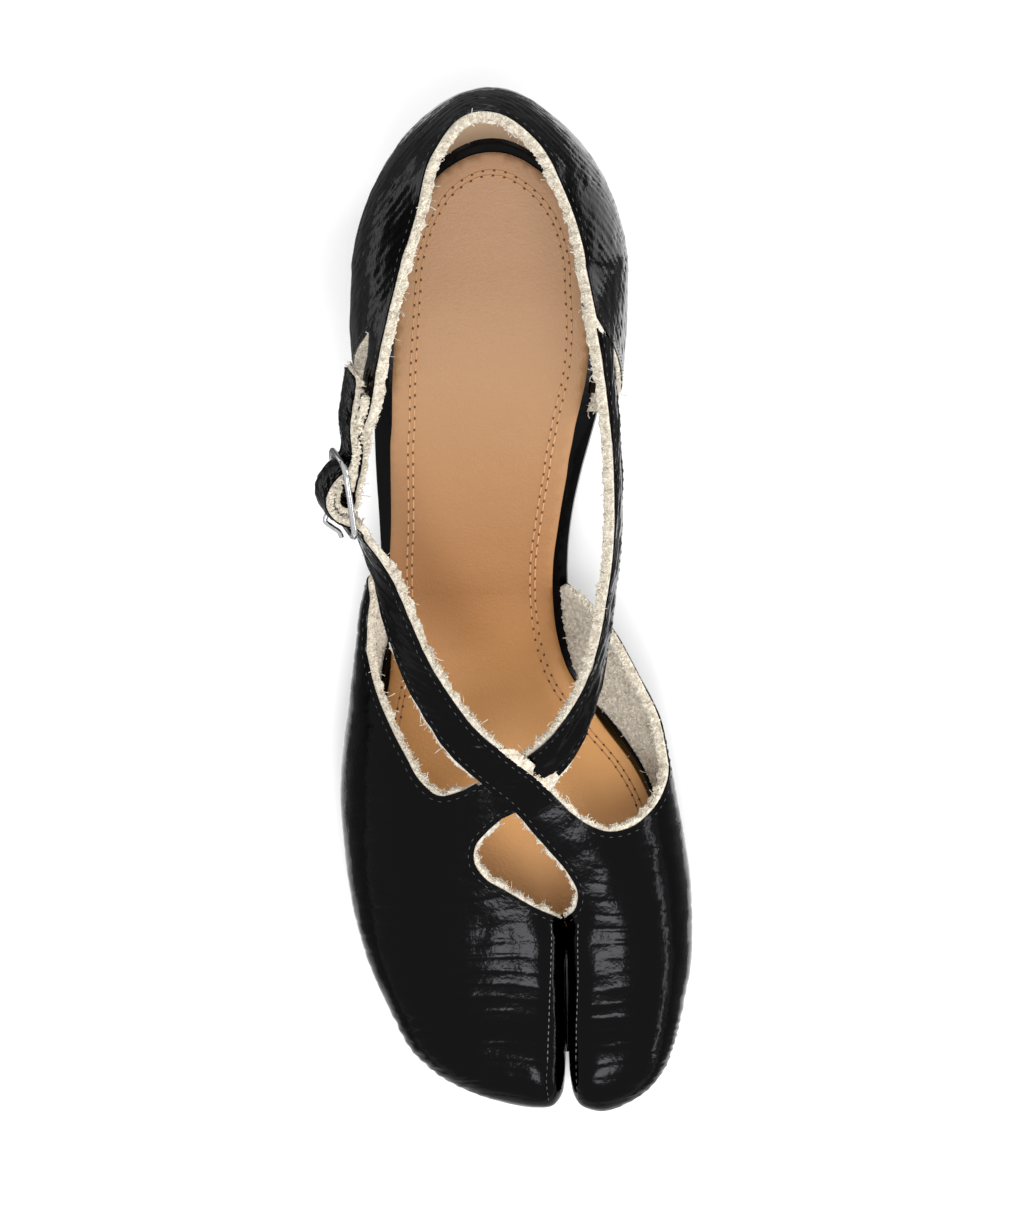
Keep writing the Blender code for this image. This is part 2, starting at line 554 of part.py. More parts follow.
def outer_panel(collection):
    """Four-toe half of the vamp, running on as the strap that passes under."""
    fan = toe_fan(OUTER_TOES, "outer_x", "outer_x", outer=True)
    root, ahead = fan.flat_from_plan(((-7.4, -48.3), (-1.6, -45.6)))
    strap = Strap(STRAP_UNDER, None, 1.0, root, ahead - root, 1)
    half, end = STRAP_WIDTH / 2, strap.run[-1]
    keyhole = fan.flat_from_plan(KEYHOLE_OUTER)
    topline = fan.flat_from_plan(OUTER_TOPLINE)
    wing = np.array([topline[-1]] + [fan.flat_at(y, -1, g) for y, g in OUTER_WING])
    loop = loop_of(
        fan.rim(1.0, OUTER_WING[-1][0], SPLIT_END_Y, PITCH),
        np.array([fan.flat_at(SPLIT_END_Y, 1, 1.0), fan.flat_at(SPLIT_END_Y, 1, 0.5), keyhole[0]]), keyhole,
        np.array([keyhole[-1], strap.flat(3, -half)]), strap_edge(strap, -half, 3, end),
        strap_edge(strap, half, end, 1.5), np.array([strap.flat(1.5, half), topline[0]]), topline, wing)

    def wall(flat):
        station, away = fan.locate(flat)[:2]
        down = fan.down(station, away)
        split = ramp(station, 0.72 * CAP_RUN, 0.9 * CAP_RUN) * ramp(down, 0.22, 0.4)
        split = split * (flat[:, 1] < CLEFT_FROM_Y)
        return WALL + (CLEFT_WALL - WALL) * split

    return shell("outer_panel", loop, blended(fan, strap), wall, collection), fan


def inner_panel(collection):
    """Big-toe half of the vamp, running on as the strap that passes over, through the buckle."""
    fan = toe_fan(BIG_TOE, "inner_x", "inner_x", outer=False)
    root, ahead = fan.flat_from_plan(((7.4, -50.4), (3.3, -46.0)))
    strap = Strap(STRAP_OVER, BUCKLE_PASS, PASS_STRETCH, root, ahead - root, -1)
    half, end = STRAP_WIDTH / 2, strap.run[-1]
    keyhole = fan.flat_from_plan(KEYHOLE_INNER)
    topline = fan.flat_from_plan(INNER_TOPLINE)
    wing = np.array([fan.flat_at(y, 1, g) for y, g in INNER_WING[::-1]] + [topline[0]])
    loop = loop_of(
        fan.rim(1.0, SPLIT_END_Y, INNER_WING[-1][0], PITCH), wing, topline,
        np.array([topline[-1], strap.flat(1.5, half)]), strap_edge(strap, half, 1.5, end - 2.5),
        tip_of(strap, end, 2.5), strap_edge(strap, -half, end - 2.5, 3),
        np.array([strap.flat(3, -half), keyhole[-1]]), keyhole[::-1],
        np.array([keyhole[0], fan.flat_at(SPLIT_END_Y, -1, 0.5), fan.flat_at(SPLIT_END_Y, -1, 1.0)]))

    def wall(flat):
        station, away = fan.locate(flat)[:2]
        down = fan.down(station, away)
        split = (1 - ramp(station, 0.1 * CAP_RUN, 0.28 * CAP_RUN)) * ramp(down, 0.22, 0.4)
        split = split * (flat[:, 1] < CLEFT_FROM_Y)
        run, across = strap.coordinates(flat)
        thin = ramp(run, strap.bend_run - 12, strap.bend_run - 2)
        thin = thin * (np.abs(across) < STRAP_WIDTH)
        return WALL + (CLEFT_WALL - WALL) * split + (TAIL_WALL - WALL) * thin

    return shell("inner_panel", loop, blended(fan, strap), wall, collection), fan


def counter(collection):
    """Heel counter, with the strap that its outer topline sends forward to the buckle."""
    fan = heel_fan()
    start = fan.along(fan.start, np.array([-11.0]))[0]
    half = STRAP_WIDTH / 2
    root_y = STRAP_REAR["y"][0]
    root = (HEEL_AXIS_X - start - half, root_y)
    strap = Strap(STRAP_REAR, BUCKLE_LOOP, LOOP_STRETCH, root, (0, -1), 1)
    end = strap.run[-1]
    outer_front = [fan.flat_at(y, -1, g) for y, g in COUNTER_OUTER_FRONT]
    inner_front = [fan.flat_at(y, 1, g) for y, g in COUNTER_INNER_FRONT]
    loop = loop_of(
        np.concatenate([[strap.flat(0, half)], fan.rim(0.0, root_y + 2, COUNTER_INNER_FRONT[0][0], PITCH)]),
        np.array(inner_front),
        fan.rim(1.0, COUNTER_OUTER_FRONT[-1][0], COUNTER_INNER_FRONT[-1][0], PITCH)[::-1],
        np.array([strap.flat(1.5, -half)] + outer_front)[::-1],
        strap_edge(strap, -half, 1.5, end), (strap.flat(end, -half), strap.flat(end, half)),
        strap_edge(strap, half, end, 0))

    def wall(flat):
        run, across = strap.coordinates(flat)
        thin = ramp(run, strap.bend_run - 6, strap.bend_run + 8 * LOOP_STRETCH)
        thin = thin * (np.abs(across) < STRAP_WIDTH)
        return WALL + (LOOP_WALL - WALL) * thin

    return shell("counter", loop, blended(fan, strap), wall, collection), fan


# ---------------------------------------------------------------- sole, sock and heel
def foot_points(fan, keep, cut, split_cut, outer):
    """Plan of the upper's foot along a fan's stations, moved in by cut, or split_cut at the split."""
    to_split = fan.turn / 180 if outer else 1 - fan.turn / 180
    on_split = fan.side == (1 if outer else -1)
    near = np.where(on_split, 1.0, ramp(to_split, 0.86, 1.0))
    run_in, fall = fan.radius[:, -2] - fan.radius[:, -1], fan.height[:, -2] - fan.height[:, -1]
    lean = np.hypot(run_in, fall) / fall            # a leaning wall is thicker in plan
    lean = lean * np.where(fan.side == 0, CAP_SLANT, 1)
    radius = fan.radius[:, -1] - cut * lean * (1 - near) - split_cut * near
    angle = np.radians(fan.turn)
    x = fan.centre_x - radius * np.cos(angle)
    y = fan.y + fan.sense * radius * np.sin(angle) * (fan.side == 0)
    on_open = (fan.side != 0) & ~on_split
    wanted = (fan.side == 0) | (on_split & (fan.y < keep)) | (on_open & (fan.y <= SEAT_FROM_Y))
    return np.column_stack([x, y])[wanted]


def sole_loop(outer_fan, inner_fan, cut, split_cut, slot_y):
    """Plan of the sole moved in by cut: both toe lobes, waist and heel."""
    left = foot_points(outer_fan, slot_y, cut, split_cut, outer=True)
    right = foot_points(inner_fan, slot_y, cut, split_cut, outer=False)
    y = np.linspace(SEAT_TO_Y, HEEL_CAP_Y, 14)
    side_cut = cut * (1 + (HEEL_LEAN - 1) * ramp(y, 32, 42))
    inner_side = np.column_stack([read(SIDES, "in_sole", y) - side_cut, y])
    outer_side = np.column_stack([read(SIDES, "out_sole", y) + side_cut, y])
    turn = np.linspace(0, 180, 37)
    radius = read(HEEL_RING, "sole", turn, "turn") - cut * HEEL_LEAN
    ring = np.column_stack([HEEL_AXIS_X - radius * np.cos(np.radians(turn)),
                            HEEL_CAP_Y + radius * np.sin(np.radians(turn))])
    rear = np.concatenate([right[-1:], inner_side, ring[::-1][1:-1], outer_side[::-1], left[:1]])
    return loop_of(left, right, rear, pitch=SOLE_EDGE_PITCH)


def slab(name, loop, low, high, collection, pitch=8.0, taper=None):
    """A closed solid between two heights over a plan loop; taper draws its underside in."""
    flat, faces = triangulate(loop, pitch)
    bm = mesh_from(np.column_stack([flat, high(flat)]), faces)
    made = bmesh.ops.extrude_face_region(bm, geom=bm.faces[:])
    for vert in (v for v in made["geom"] if isinstance(v, bmesh.types.BMVert)):
        plan = np.array([[vert.co.x, vert.co.y]]) / MM
        if taper:
            plan = taper(plan)
        vert.co = Vector((*plan[0], float(low(plan)[0]))) * MM
    bmesh.ops.recalc_face_normals(bm, faces=bm.faces[:])
    return new_object(name, bm, collection)


def at_layer(offset):
    return lambda plan: layer_height(plan[:, 1], offset)


def level(height):
    return lambda plan: np.full(len(plan), float(height))


def heel_loop():
    """Plan of the heel block where it meets the seat."""
    turn = np.radians(np.arange(0, 360, 9))
    x = HEEL_MIDDLE[0] + HEEL_HALF_WIDTH * np.sign(np.cos(turn)) * np.abs(np.cos(turn)) ** 0.84
    back = np.where(np.sin(turn) > 0, HEEL_BACK, HEEL_FRONT)
    y = HEEL_MIDDLE[1] + back * np.sign(np.sin(turn)) * np.abs(np.sin(turn)) ** 0.84
    return np.column_stack([x, y])


def heel_taper(plan):
    return np.array(HEEL_MIDDLE) + (plan - np.array(HEEL_MIDDLE)) * HEEL_BASE_SHARE


# ---------------------------------------------------------------- buckle
def wire(name, points, radius, collection, closed=False):
    """A round wire through the points, as a mesh."""
    data = bpy.data.curves.new(name + "_line", "CURVE")
    data.dimensions = "3D"
    data.bevel_depth = radius * MM
    data.bevel_resolution = 2
    data.use_fill_caps = not closed
    spline = data.splines.new("POLY")
    spline.points.add(len(points) - 1)
    for knot, point in zip(spline.points, points):
        knot.co = (*(Vector(point) * MM), 1)
    spline.use_cyclic_u = closed
    line = bpy.data.objects.new(name + "_line", data)
    collection.objects.link(line)
    mesh = bpy.data.meshes.new_from_object(line.evaluated_get(bpy.context.evaluated_depsgraph_get()))
    bpy.data.objects.remove(line)
    bm = bmesh.new()
    bm.from_mesh(mesh)
    bpy.data.meshes.remove(mesh)
    bmesh.ops.remove_doubles(bm, verts=bm.verts[:], dist=1e-6)
    bmesh.ops.recalc_face_normals(bm, faces=bm.faces[:])
    return new_object(name, bm, collection)


def buckle_frame(collection, cutters):
    """Rounded rectangle with a middle bar."""
    half_long, half_high = BUCKLE_LENGTH / 2, BUCKLE_HEIGHT / 2
    ring = []
    for k, (a, b) in enumerate(((1, 1), (-1, 1), (-1, -1), (1, -1))):
        for step in range(5):
            turn = math.radians(90 * k + 22.5 * step)
            ring.append(at_buckle(a * (half_long - BUCKLE_CORNER) + BUCKLE_CORNER * math.cos(turn),
                                  b * (half_high - BUCKLE_CORNER) + BUCKLE_CORNER * math.sin(turn), 0))
    frame = wire("buckle_frame", ring, WIRE, collection, closed=True)
    bar = wire("middle_bar", [at_buckle(0, b, 0) for b in (-half_high, half_high)], WIRE * 0.98, cutters)
    join(frame, bar, "UNION")
    return frame


def buckle_prong(collection):
    """Wire hooked round the middle bar, out through the strap and down onto the front bar."""
    ring = PRONG_RING
    eye = [(ring * math.cos(a), ring * math.sin(a)) for a in np.radians(np.arange(116, -178, -21))]
    tongue = [(-2.5, 0.5), (-3.3, 2.2), (-4.2, 4.4), (-5.4, 4.9), (-7.2, 3.6), (-9.0, 2.05), (-10.2, 1.75)]
    return wire("buckle_prong", [at_buckle(a, 0, o) for a, o in eye + tongue], PRONG, collection)


def block(name, low, high, collection):
    """Box in the buckle's own axes, from one corner to the other."""
    bm = bmesh.new()
    bmesh.ops.create_cube(bm, size=1.0)
    for vert in bm.verts:
        a, b, c = (l + (h - l) * (p + 0.5) for l, h, p in zip(low, high, vert.co))
        vert.co = Vector(at_buckle(a, b, c)) * MM
    bmesh.ops.recalc_face_normals(bm, faces=bm.faces[:])
    return new_object(name, bm, collection)


def join(obj, other, operation):
    """Boolean with a guide object, which stays out of the model."""
    other.hide_render = True
    other.display_type = "WIRE"
    cut = obj.modifiers.new(other.name, "BOOLEAN")
    cut.operation = operation
    cut.object = other


# ---------------------------------------------------------------- the shoe
FINISH = {                      # colour, roughness, metallic
    "glossy_black_cloth": ((0.012, 0.012, 0.013, 1), 0.22, 0.0),
    "black_board": ((0.015, 0.014, 0.014, 1), 0.35, 0.0),
    "tan_leather": ((0.50, 0.29, 0.15, 1), 0.5, 0.0),
    "black_leather": ((0.02, 0.02, 0.02, 1), 0.45, 0.0),
    "black_rubber": ((0.03, 0.03, 0.03, 1), 0.75, 0.0),
    "chrome": ((0.82, 0.82, 0.83, 1), 0.12, 1.0)}


def finish(obj, name):
    material = bpy.data.materials.get(name) or bpy.data.materials.new(name)
    material.use_nodes = True
    shader = material.node_tree.nodes["Principled BSDF"]
    colour, roughness, metallic = FINISH[name]
    shader.inputs["Base Color"].default_value = colour
    shader.inputs["Roughness"].default_value = roughness
    shader.inputs["Metallic"].default_value = metallic
    obj.data.materials.append(material)
    obj.data.shade_smooth()
    obj.data.set_sharp_from_angle(angle=math.radians(40))


def build():
    for obj in list(bpy.data.objects):
        bpy.data.objects.remove(obj)
    parts, cutters = (bpy.data.collections.new(n) for n in ("tabi_pump", "cutters"))
    for collection in (parts, cutters):
        bpy.context.scene.collection.children.link(collection)
    shoe = bpy.data.objects.new("tabi_pump", None)
    shoe.location = (-SHOE_CENTRE[0] * MM, -SHOE_CENTRE[1] * MM, 0)
    parts.objects.link(shoe)

    upper, outer_fan = outer_panel(parts)
    upper.name = "upper"
    inner, inner_fan = inner_panel(cutters)
    rear, _ = counter(cutters)
    join(upper, inner, "UNION")
    join(upper, rear, "UNION")
    join(upper, block("loop_slot", (-2.98, -1.3, -3.4), (4.4, 1.3, 2.98), cutters), "DIFFERENCE")
    join(upper, block("prong_hole", (-5.6, -1.3, 0.4), (-2.0, 1.3, 6.5), cutters), "DIFFERENCE")

    edge = sole_loop(outer_fan, inner_fan, 0.0, 0.0, SLOT_END_Y)
    inner_edge = sole_loop(outer_fan, inner_fan, SOCK_INSET, SOCK_CLEFT_INSET, SPLIT_END_Y + 3)
    slab("outsole", edge, at_layer(0.0), at_layer(OUTSOLE), parts)
    slab("insole_board", edge, at_layer(BOARD_FROM), at_layer(BOARD_TO), parts)
    slab("insole_sock", inner_edge, at_layer(SOCK_FROM), at_layer(SOCK_TO), parts)
    heel_low = level(HEEL_TIP_Z + HEEL_GAP)
    slab("heel_block", heel_loop(), heel_low, at_layer(-HEEL_GAP), parts, taper=heel_taper)
    slab("heel_top_piece", heel_taper(heel_loop()), level(0.0), level(HEEL_TIP_Z), parts)
    buckle_frame(parts, cutters)
    buckle_prong(parts)

    finishes = {"upper": "glossy_black_cloth", "outsole": "black_leather", "insole_board": "black_board",
                "insole_sock": "tan_leather", "heel_block": "black_leather", "heel_top_piece": "black_rubber",
                "buckle_frame": "chrome", "buckle_prong": "chrome"}
    for name, material in finishes.items():
        finish(bpy.data.objects[name], material)
    for obj in list(parts.objects) + list(cutters.objects):
        if obj is not shoe:
            obj.parent = shoe


build()
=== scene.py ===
import math

import bpy
import numpy as np
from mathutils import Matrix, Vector
from mathutils.geometry import delaunay_2d_cdt


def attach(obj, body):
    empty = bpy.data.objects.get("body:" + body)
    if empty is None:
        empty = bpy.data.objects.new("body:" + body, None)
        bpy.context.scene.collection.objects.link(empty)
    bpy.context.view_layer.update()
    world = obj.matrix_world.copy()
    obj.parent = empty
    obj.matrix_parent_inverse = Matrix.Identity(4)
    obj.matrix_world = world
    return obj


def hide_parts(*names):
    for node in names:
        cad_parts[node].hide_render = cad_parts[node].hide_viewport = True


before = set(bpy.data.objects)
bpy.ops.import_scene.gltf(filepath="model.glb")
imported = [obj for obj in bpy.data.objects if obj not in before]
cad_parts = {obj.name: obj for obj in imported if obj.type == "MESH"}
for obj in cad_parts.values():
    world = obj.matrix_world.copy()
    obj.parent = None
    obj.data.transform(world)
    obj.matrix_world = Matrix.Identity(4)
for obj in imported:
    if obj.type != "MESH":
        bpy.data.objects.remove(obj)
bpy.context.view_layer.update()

mm = 0.001
shoeCentre = (-0.88, -3.83)     # middle of the footprint, which is the world origin
# heights above the sole's underside, and how far the sock lies in from the sole's edge
layers = {"outsole": 3.5, "board": (3.8, 6.0), "sock": (6.3, 7.5), "foot": 6.3, "sockInset": 3.5,
          "sockCleftInset": 2.6, "heelLean": 1.2, "capSlant": 1.3}
cloth = {"wall": 2.8, "cleftWall": 1.4, "tailWall": 2.0, "loopWall": 1.6,
         "thinFrom": -72, "thinDown": (0.22, 0.4)}     # where the wall thins towards the split
strapWidth, strapCrown, strapBlend = 9.2, 0.35, 14.0
toeCapY, heelCapY, heelAxisX = -99.0, 72.0, -4.0
buckle = {"length": 18.0, "height": 13.0, "corner": 3.0, "ring": 1.95, "centre": (-36.3, 23.0, 81.5),
          "along": (-0.10, 0.905, 0.41), "lean": math.radians(16)}


def table(columns, *rows):
    # Rows of numbers under named columns, as one array per name.
    data = np.array(rows, dtype=float)
    return {name: data[:, i] for i, name in enumerate(columns.split())}


soleProfile = table(
    "y z",
    (-124, 7.9), (-117, 5.9), (-108, 3.8), (-98, 1.9), (-88, 0.6), (-78, 0.0), (-66, 0.0), (-52, 0.0),
    (-38, 0.0), (-28, 0.7), (-18, 3.0), (-8, 7.3), (2, 12.5), (12, 18.3), (22, 24.6), (32, 31.0),
    (42, 37.0), (52, 42.2), (60, 45.6), (68, 48.3), (78, 50.5), (92, 53.6), (112, 58.0))

# the sole's own outline, and the widest line of the upper above it
sides = table(
    "y outSole outWide inWide inSole",
    (-99, -26.4, -30.0, 38.7, 35.2), (-86, -32.2, -35.8, 40.9, 37.2), (-77, -35.0, -38.4, 41.1, 37.6),
    (-68, -36.7, -40.1, 40.8, 37.3), (-58, -37.7, -41.2, 39.5, 36.3), (-47, -38.0, -41.9, 37.6, 33.8),
    (-38, -37.1, -41.4, 35.9, 29.2), (-27, -35.4, -40.0, 33.4, 20.8), (-18, -33.6, -38.9, 29.0, 15.5),
    (-10, -32.7, -37.9, 24.6, 13.0), (-2, -32.2, -37.0, 19.4, 11.9), (8, -32.0, -34.4, 14.0, 11.6),
    (20, -32.1, -33.0, 13.6, 13.0), (30, -32.3, -34.0, 17.0, 15.4), (40, -32.2, -34.6, 24.4, 18.4),
    (50, -31.8, -35.1, 25.7, 21.0), (60, -31.0, -35.7, 26.6, 22.0), (72, -30.0, -35.1, 27.0, 21.7))

heelRing = table(              # angle from the outer side, radii about the heel axis, topline height
    "turn sole wide top topZ",
    (0, 26.0, 31.1, 18.3, 104.6), (22, 26.3, 31.4, 17.4, 105.6), (45, 28.3, 33.6, 19.8, 107.4),
    (66, 31.2, 37.6, 26.5, 110.0), (86, 33.0, 41.2, 33.0, 112.0), (94, 33.0, 41.4, 33.2, 112.0),
    (114, 31.0, 37.8, 29.6, 110.2), (135, 28.6, 34.4, 24.8, 107.4), (158, 26.4, 31.8, 22.6, 105.4),
    (180, 25.7, 31.0, 22.7, 104.2))

heelTopline = table(                # forward of the heel ring, outer and inner topline
    "y outX inX z",
    (38, -30.4, 24.2, 94.5), (50, -28.0, 23.0, 99.2), (61, -25.2, 21.0, 102.8), (72, -22.3, 18.7, 104.5))

vamp = table(                   # heights above the board; swell = the height of the widest line
    "y ridge outSwell inSwell squareness",
    (-99, 22.5, 8.0, 8.0, 2.3), (-88, 25.5, 8.5, 8.5, 2.3), (-76, 29.0, 9.5, 9.5, 2.3),
    (-62, 34.0, 11.0, 11.5, 2.25), (-50, 38.8, 12.5, 15.5, 2.2), (-42, 41.5, 13.5, 19.0, 2.2),
    (-32, 40.0, 14.0, 24.0, 2.2), (-20, 34.0, 13.5, 23.0, 2.2), (-8, 25.0, 10.0, 15.0, 2.2),
    (2, 16.0, 5.0, 7.0, 2.2), (10, 10.0, 3.0, 4.0, 2.2))

outerToes = table(             # plan outline of the four-toe lobe, round to the split
    "x y", (-35.8, -86), (-30.0, -99), (-25.2, -107.3), (-18.9, -112.9), (-10.0, -117.2), (-1.0, -119.6),
    (5.2, -120.3), (8.4, -119.7), (10.2, -117.6), (11.0, -113.6), (11.2, -106), (11.2, -98), (11.2, -90))

bigToe = table(                # plan outline of the big-toe lobe
    "x y", (40.9, -86), (38.7, -99), (36.5, -107.4), (32.8, -114.2), (27.4, -118.6), (21.6, -120.9),
    (17.8, -121.0), (14.9, -119.7), (13.2, -117.2), (12.4, -113.4), (12.0, -106), (11.9, -98), (11.8, -90))

spineLine = table(                  # where each lobe is highest
    "y outerX innerX",
    (-99, -2.0, 22.5), (-86, -2.0, 22.5), (-76, -2.0, 21.5), (-66, -2.5, 17.0), (-56, -2.5, 11.0),
    (-46, -2.0, 4.0), (-36, -2.0, 0.0), (10, -2.0, 0.0))

splitLine = table(                  # walls of the split; behind the split each half runs on as one hump
    "y outerX innerX squareness",
    (-99, 11.2, 11.9, 4.8), (-88, 11.2, 11.8, 4.8), (-80, 11.6, 11.2, 4.8), (-76.5, 11.9, 10.9, 3.8),
    (-73, 15.0, 7.0, 3.0), (-68, 21.0, -3.0, 2.5), (-60, 29.0, -17.0, 2.3), (-50, 35.0, -31.0, 2.2),
    (-40, 36.0, -38.0, 2.2), (10, 30.0, -34.0, 2.2))

# openings in the vamp, in plan
keyholeOuter = ((10.9, -75.6), (5.2, -72.6), (-1.6, -68.6), (-7.2, -65.0), (-9.3, -61.4), (-8.9, -57.6),
                 (-5.8, -53.8))
keyholeInner = ((11.3, -75.6), (13.9, -72.6), (14.6, -69.0), (12.6, -64.4), (8.6, -59.3), (4.2, -54.2))
outerTopline = ((-8.4, -42.9), (-12.6, -45.0), (-17.4, -45.9), (-21.2, -43.0), (-25.4, -36.2),
                 (-29.6, -28.6), (-33.0, -20.8), (-35.2, -12.6))
innerTopline = ((35.2, -31.6), (35.9, -38.6), (34.9, -45.0), (31.6, -50.0), (27.4, -53.2), (22.0, -54.3),
                 (16.8, -52.4), (12.8, -49.4))

splitEndY = -78.5             # where the two walls of the split meet
slotEndY = -84.0              # where the sole's own slot ends
vampEndY = 8                  # the sole's outline follows the vamp's foot up to here

# where an edge runs down to the sole: y, and how far down the section
outerWing = ((-5.0, 0.68), (0.5, 0.74), (3.6, 0.83), (5.6, 0.93), (6.6, 1.0))
innerWing = ((-24.0, 0.61), (-16.0, 0.61), (-9.4, 0.63), (-4.5, 0.69), (-0.8, 0.80), (2.0, 0.92), (3.4, 1.0))
counterOuterFront = ((57.6, 0.22), (55.2, 0.38), (52.4, 0.6), (49.8, 0.8), (47.8, 1.0))
counterInnerFront = ((61.0, 0.0), (58.8, 0.07), (56.0, 0.2), (52.2, 0.42), (48.2, 0.65), (42.8, 1.0))

# straps: middle of the black face, and the direction from its lower to its upper edge
strapOver = table(             # from the big-toe side over the instep to the buckle
    "x y z wx wy wz",
    (7.4, -50.4, 45.4, 0.74, 0.66, 0.08), (3.3, -46.0, 48.2, 0.73, 0.66, 0.16),
    (-4.0, -39.6, 53.0, 0.70, 0.66, 0.28), (-10.9, -33.3, 57.0, 0.72, 0.56, 0.40),
    (-16.5, -25.4, 60.4, 0.76, 0.38, 0.52), (-21.7, -15.8, 63.9, 0.74, 0.22, 0.63),
    (-25.6, -5.2, 68.4, 0.66, 0.10, 0.74), (-28.3, 3.6, 72.3, 0.54, -0.06, 0.84),
    (-31.0, 9.6, 75.0, 0.42, -0.22, 0.88))
strapUnder = table(            # from under the crossing up the inner side to the heel counter
    "x y z wx wy wz",
    (-7.4, -48.3, 45.8, -0.42, 0.89, 0.10), (-1.6, -45.6, 46.9, -0.46, 0.86, 0.18),
    (4.6, -41.2, 49.0, -0.52, 0.78, 0.32), (9.9, -36.4, 51.8, -0.52, 0.66, 0.52),
    (14.0, -30.8, 55.0, -0.45, 0.50, 0.74), (17.4, -24.4, 58.4, -0.36, 0.30, 0.88),
    (20.0, -17.0, 62.0, -0.28, 0.08, 0.95), (21.8, -9.4, 65.6, -0.22, -0.12, 0.96),
    (23.3, 0.0, 70.0, -0.18, -0.24, 0.95), (24.7, 10.0, 74.8, -0.16, -0.33, 0.93),
    (25.2, 22.0, 80.4, -0.15, -0.38, 0.92), (24.9, 34.0, 86.2, -0.15, -0.40, 0.91),
    (23.9, 46.0, 91.4, -0.18, -0.40, 0.90), (22.7, 56.0, 95.2, -0.22, -0.33, 0.92),
    (20.9, 66.0, 97.6, -0.26, -0.24, 0.93))
strapRear = table(             # from the outer topline forward to the buckle
    "x y z wx wy wz",
    (-26.9, 60.0, 98.2, 0.24, -0.30, 0.92), (-29.2, 51.0, 94.2, 0.26, -0.38, 0.89),
    (-31.2, 42.4, 90.2, 0.29, -0.38, 0.88))
bucklePass = table(            # the over-strap through the buckle: along it, and out from its plane
    "along out",
    (-10.6, -2.2), (-9.0, -1.95), (-7.2, -0.7), (-5.7, 1.9), (-3.6, 4.2), (0.0, 5.4), (3.6, 4.2), (5.9, 2.0),
    (7.6, -0.6), (9.2, -1.8), (12.0, -2.1), (16.6, -2.4), (20.0, -3.2), (23.2, -4.2), (28.2, -5.5))
buckleLoop = table(            # the rear strap's end, folded round the middle bar
    "along out",
    (16.0, -5.3), (12.0, -4.7), (9.0, -4.2), (6.0, -3.3), (3.4, -2.3), (1.4, -1.6), (0.0, -1.4),
    (-0.99, -0.99), (-1.4, 0.0), (-0.99, 0.99), (0.0, 1.4), (1.6, 1.2), (3.4, 0.4))
passStretch, loopStretch = 2.6, 5.0   # finer triangles where a strap bends sharply
keyholeGap, toplineGap = 3, 1.5       # a strap's own edges start this far past its root
tipRadius = 2.5


# curves and tables
def smooth(at, keys, values):
    # Cubic through (keys, values), level beyond the ends.
    at = np.clip(np.asarray(at, dtype=float), keys[0], keys[-1])
    slope = np.gradient(values, keys)
    i = np.clip(np.searchsorted(keys, at) - 1, 0, len(keys) - 2)
    span = keys[i + 1] - keys[i]
    t = (at - keys[i]) / span
    rise = (1 + 2 * t) * (1 - t) ** 2 * values[i] + t * t * (3 - 2 * t) * values[i + 1]
    return rise + span * (t * (1 - t) ** 2 * slope[i] - t * t * (1 - t) * slope[i + 1])


def read(tab, column, at, key="y"):
    return smooth(at, tab[key], tab[column])


def chord(points):
    # Running length along a row of points.
    steps = np.linalg.norm(np.diff(points, axis=0), axis=1)
    return np.concatenate(([0.0], np.cumsum(steps)))


def curve(points, pitch):
    # A smooth curve through the points, sampled about every pitch, both ends kept.
    points = np.array(points, dtype=float)
    run = chord(points)
    at = np.linspace(0, run[-1], max(2, int(round(run[-1] / pitch)) + 1))
    return np.stack([smooth(at, run, points[:, k]) for k in range(points.shape[1])], axis=1)


def ramp(value, start, end):
    t = np.clip((value - start) / (end - start), 0, 1)
    return t * t * (3 - 2 * t)


def unit(v):
    return v / np.linalg.norm(v, axis=-1, keepdims=True)


def layerHeight(y, offset):
    # Height at y of the line that runs `offset` above the sole's underside, square to it.
    lineY = np.linspace(-124, 112, 473)
    lineZ = np.maximum(smooth(lineY, soleProfile["y"], soleProfile["z"]), 0)   # flat tread
    slope = np.gradient(lineZ, lineY)
    lean = np.sqrt(1 + slope ** 2)
    return np.interp(y, lineY - offset * slope / lean, lineZ + offset / lean)


# sheets
def inside(points, loop):
    # Which points lie in a closed loop, by counting crossings.
    ax, ay = loop[:, 0], loop[:, 1]
    bx, by = np.roll(ax, -1), np.roll(ay, -1)
    px, py = points[:, :1], points[:, 1:2]
    spans = (ay > py) != (by > py)
    with np.errstate(divide="ignore", invalid="ignore"):
        cross = ax + (py - ay) * (bx - ax) / (by - ay)
    return (spans & (px < cross)).sum(axis=1) % 2 == 1


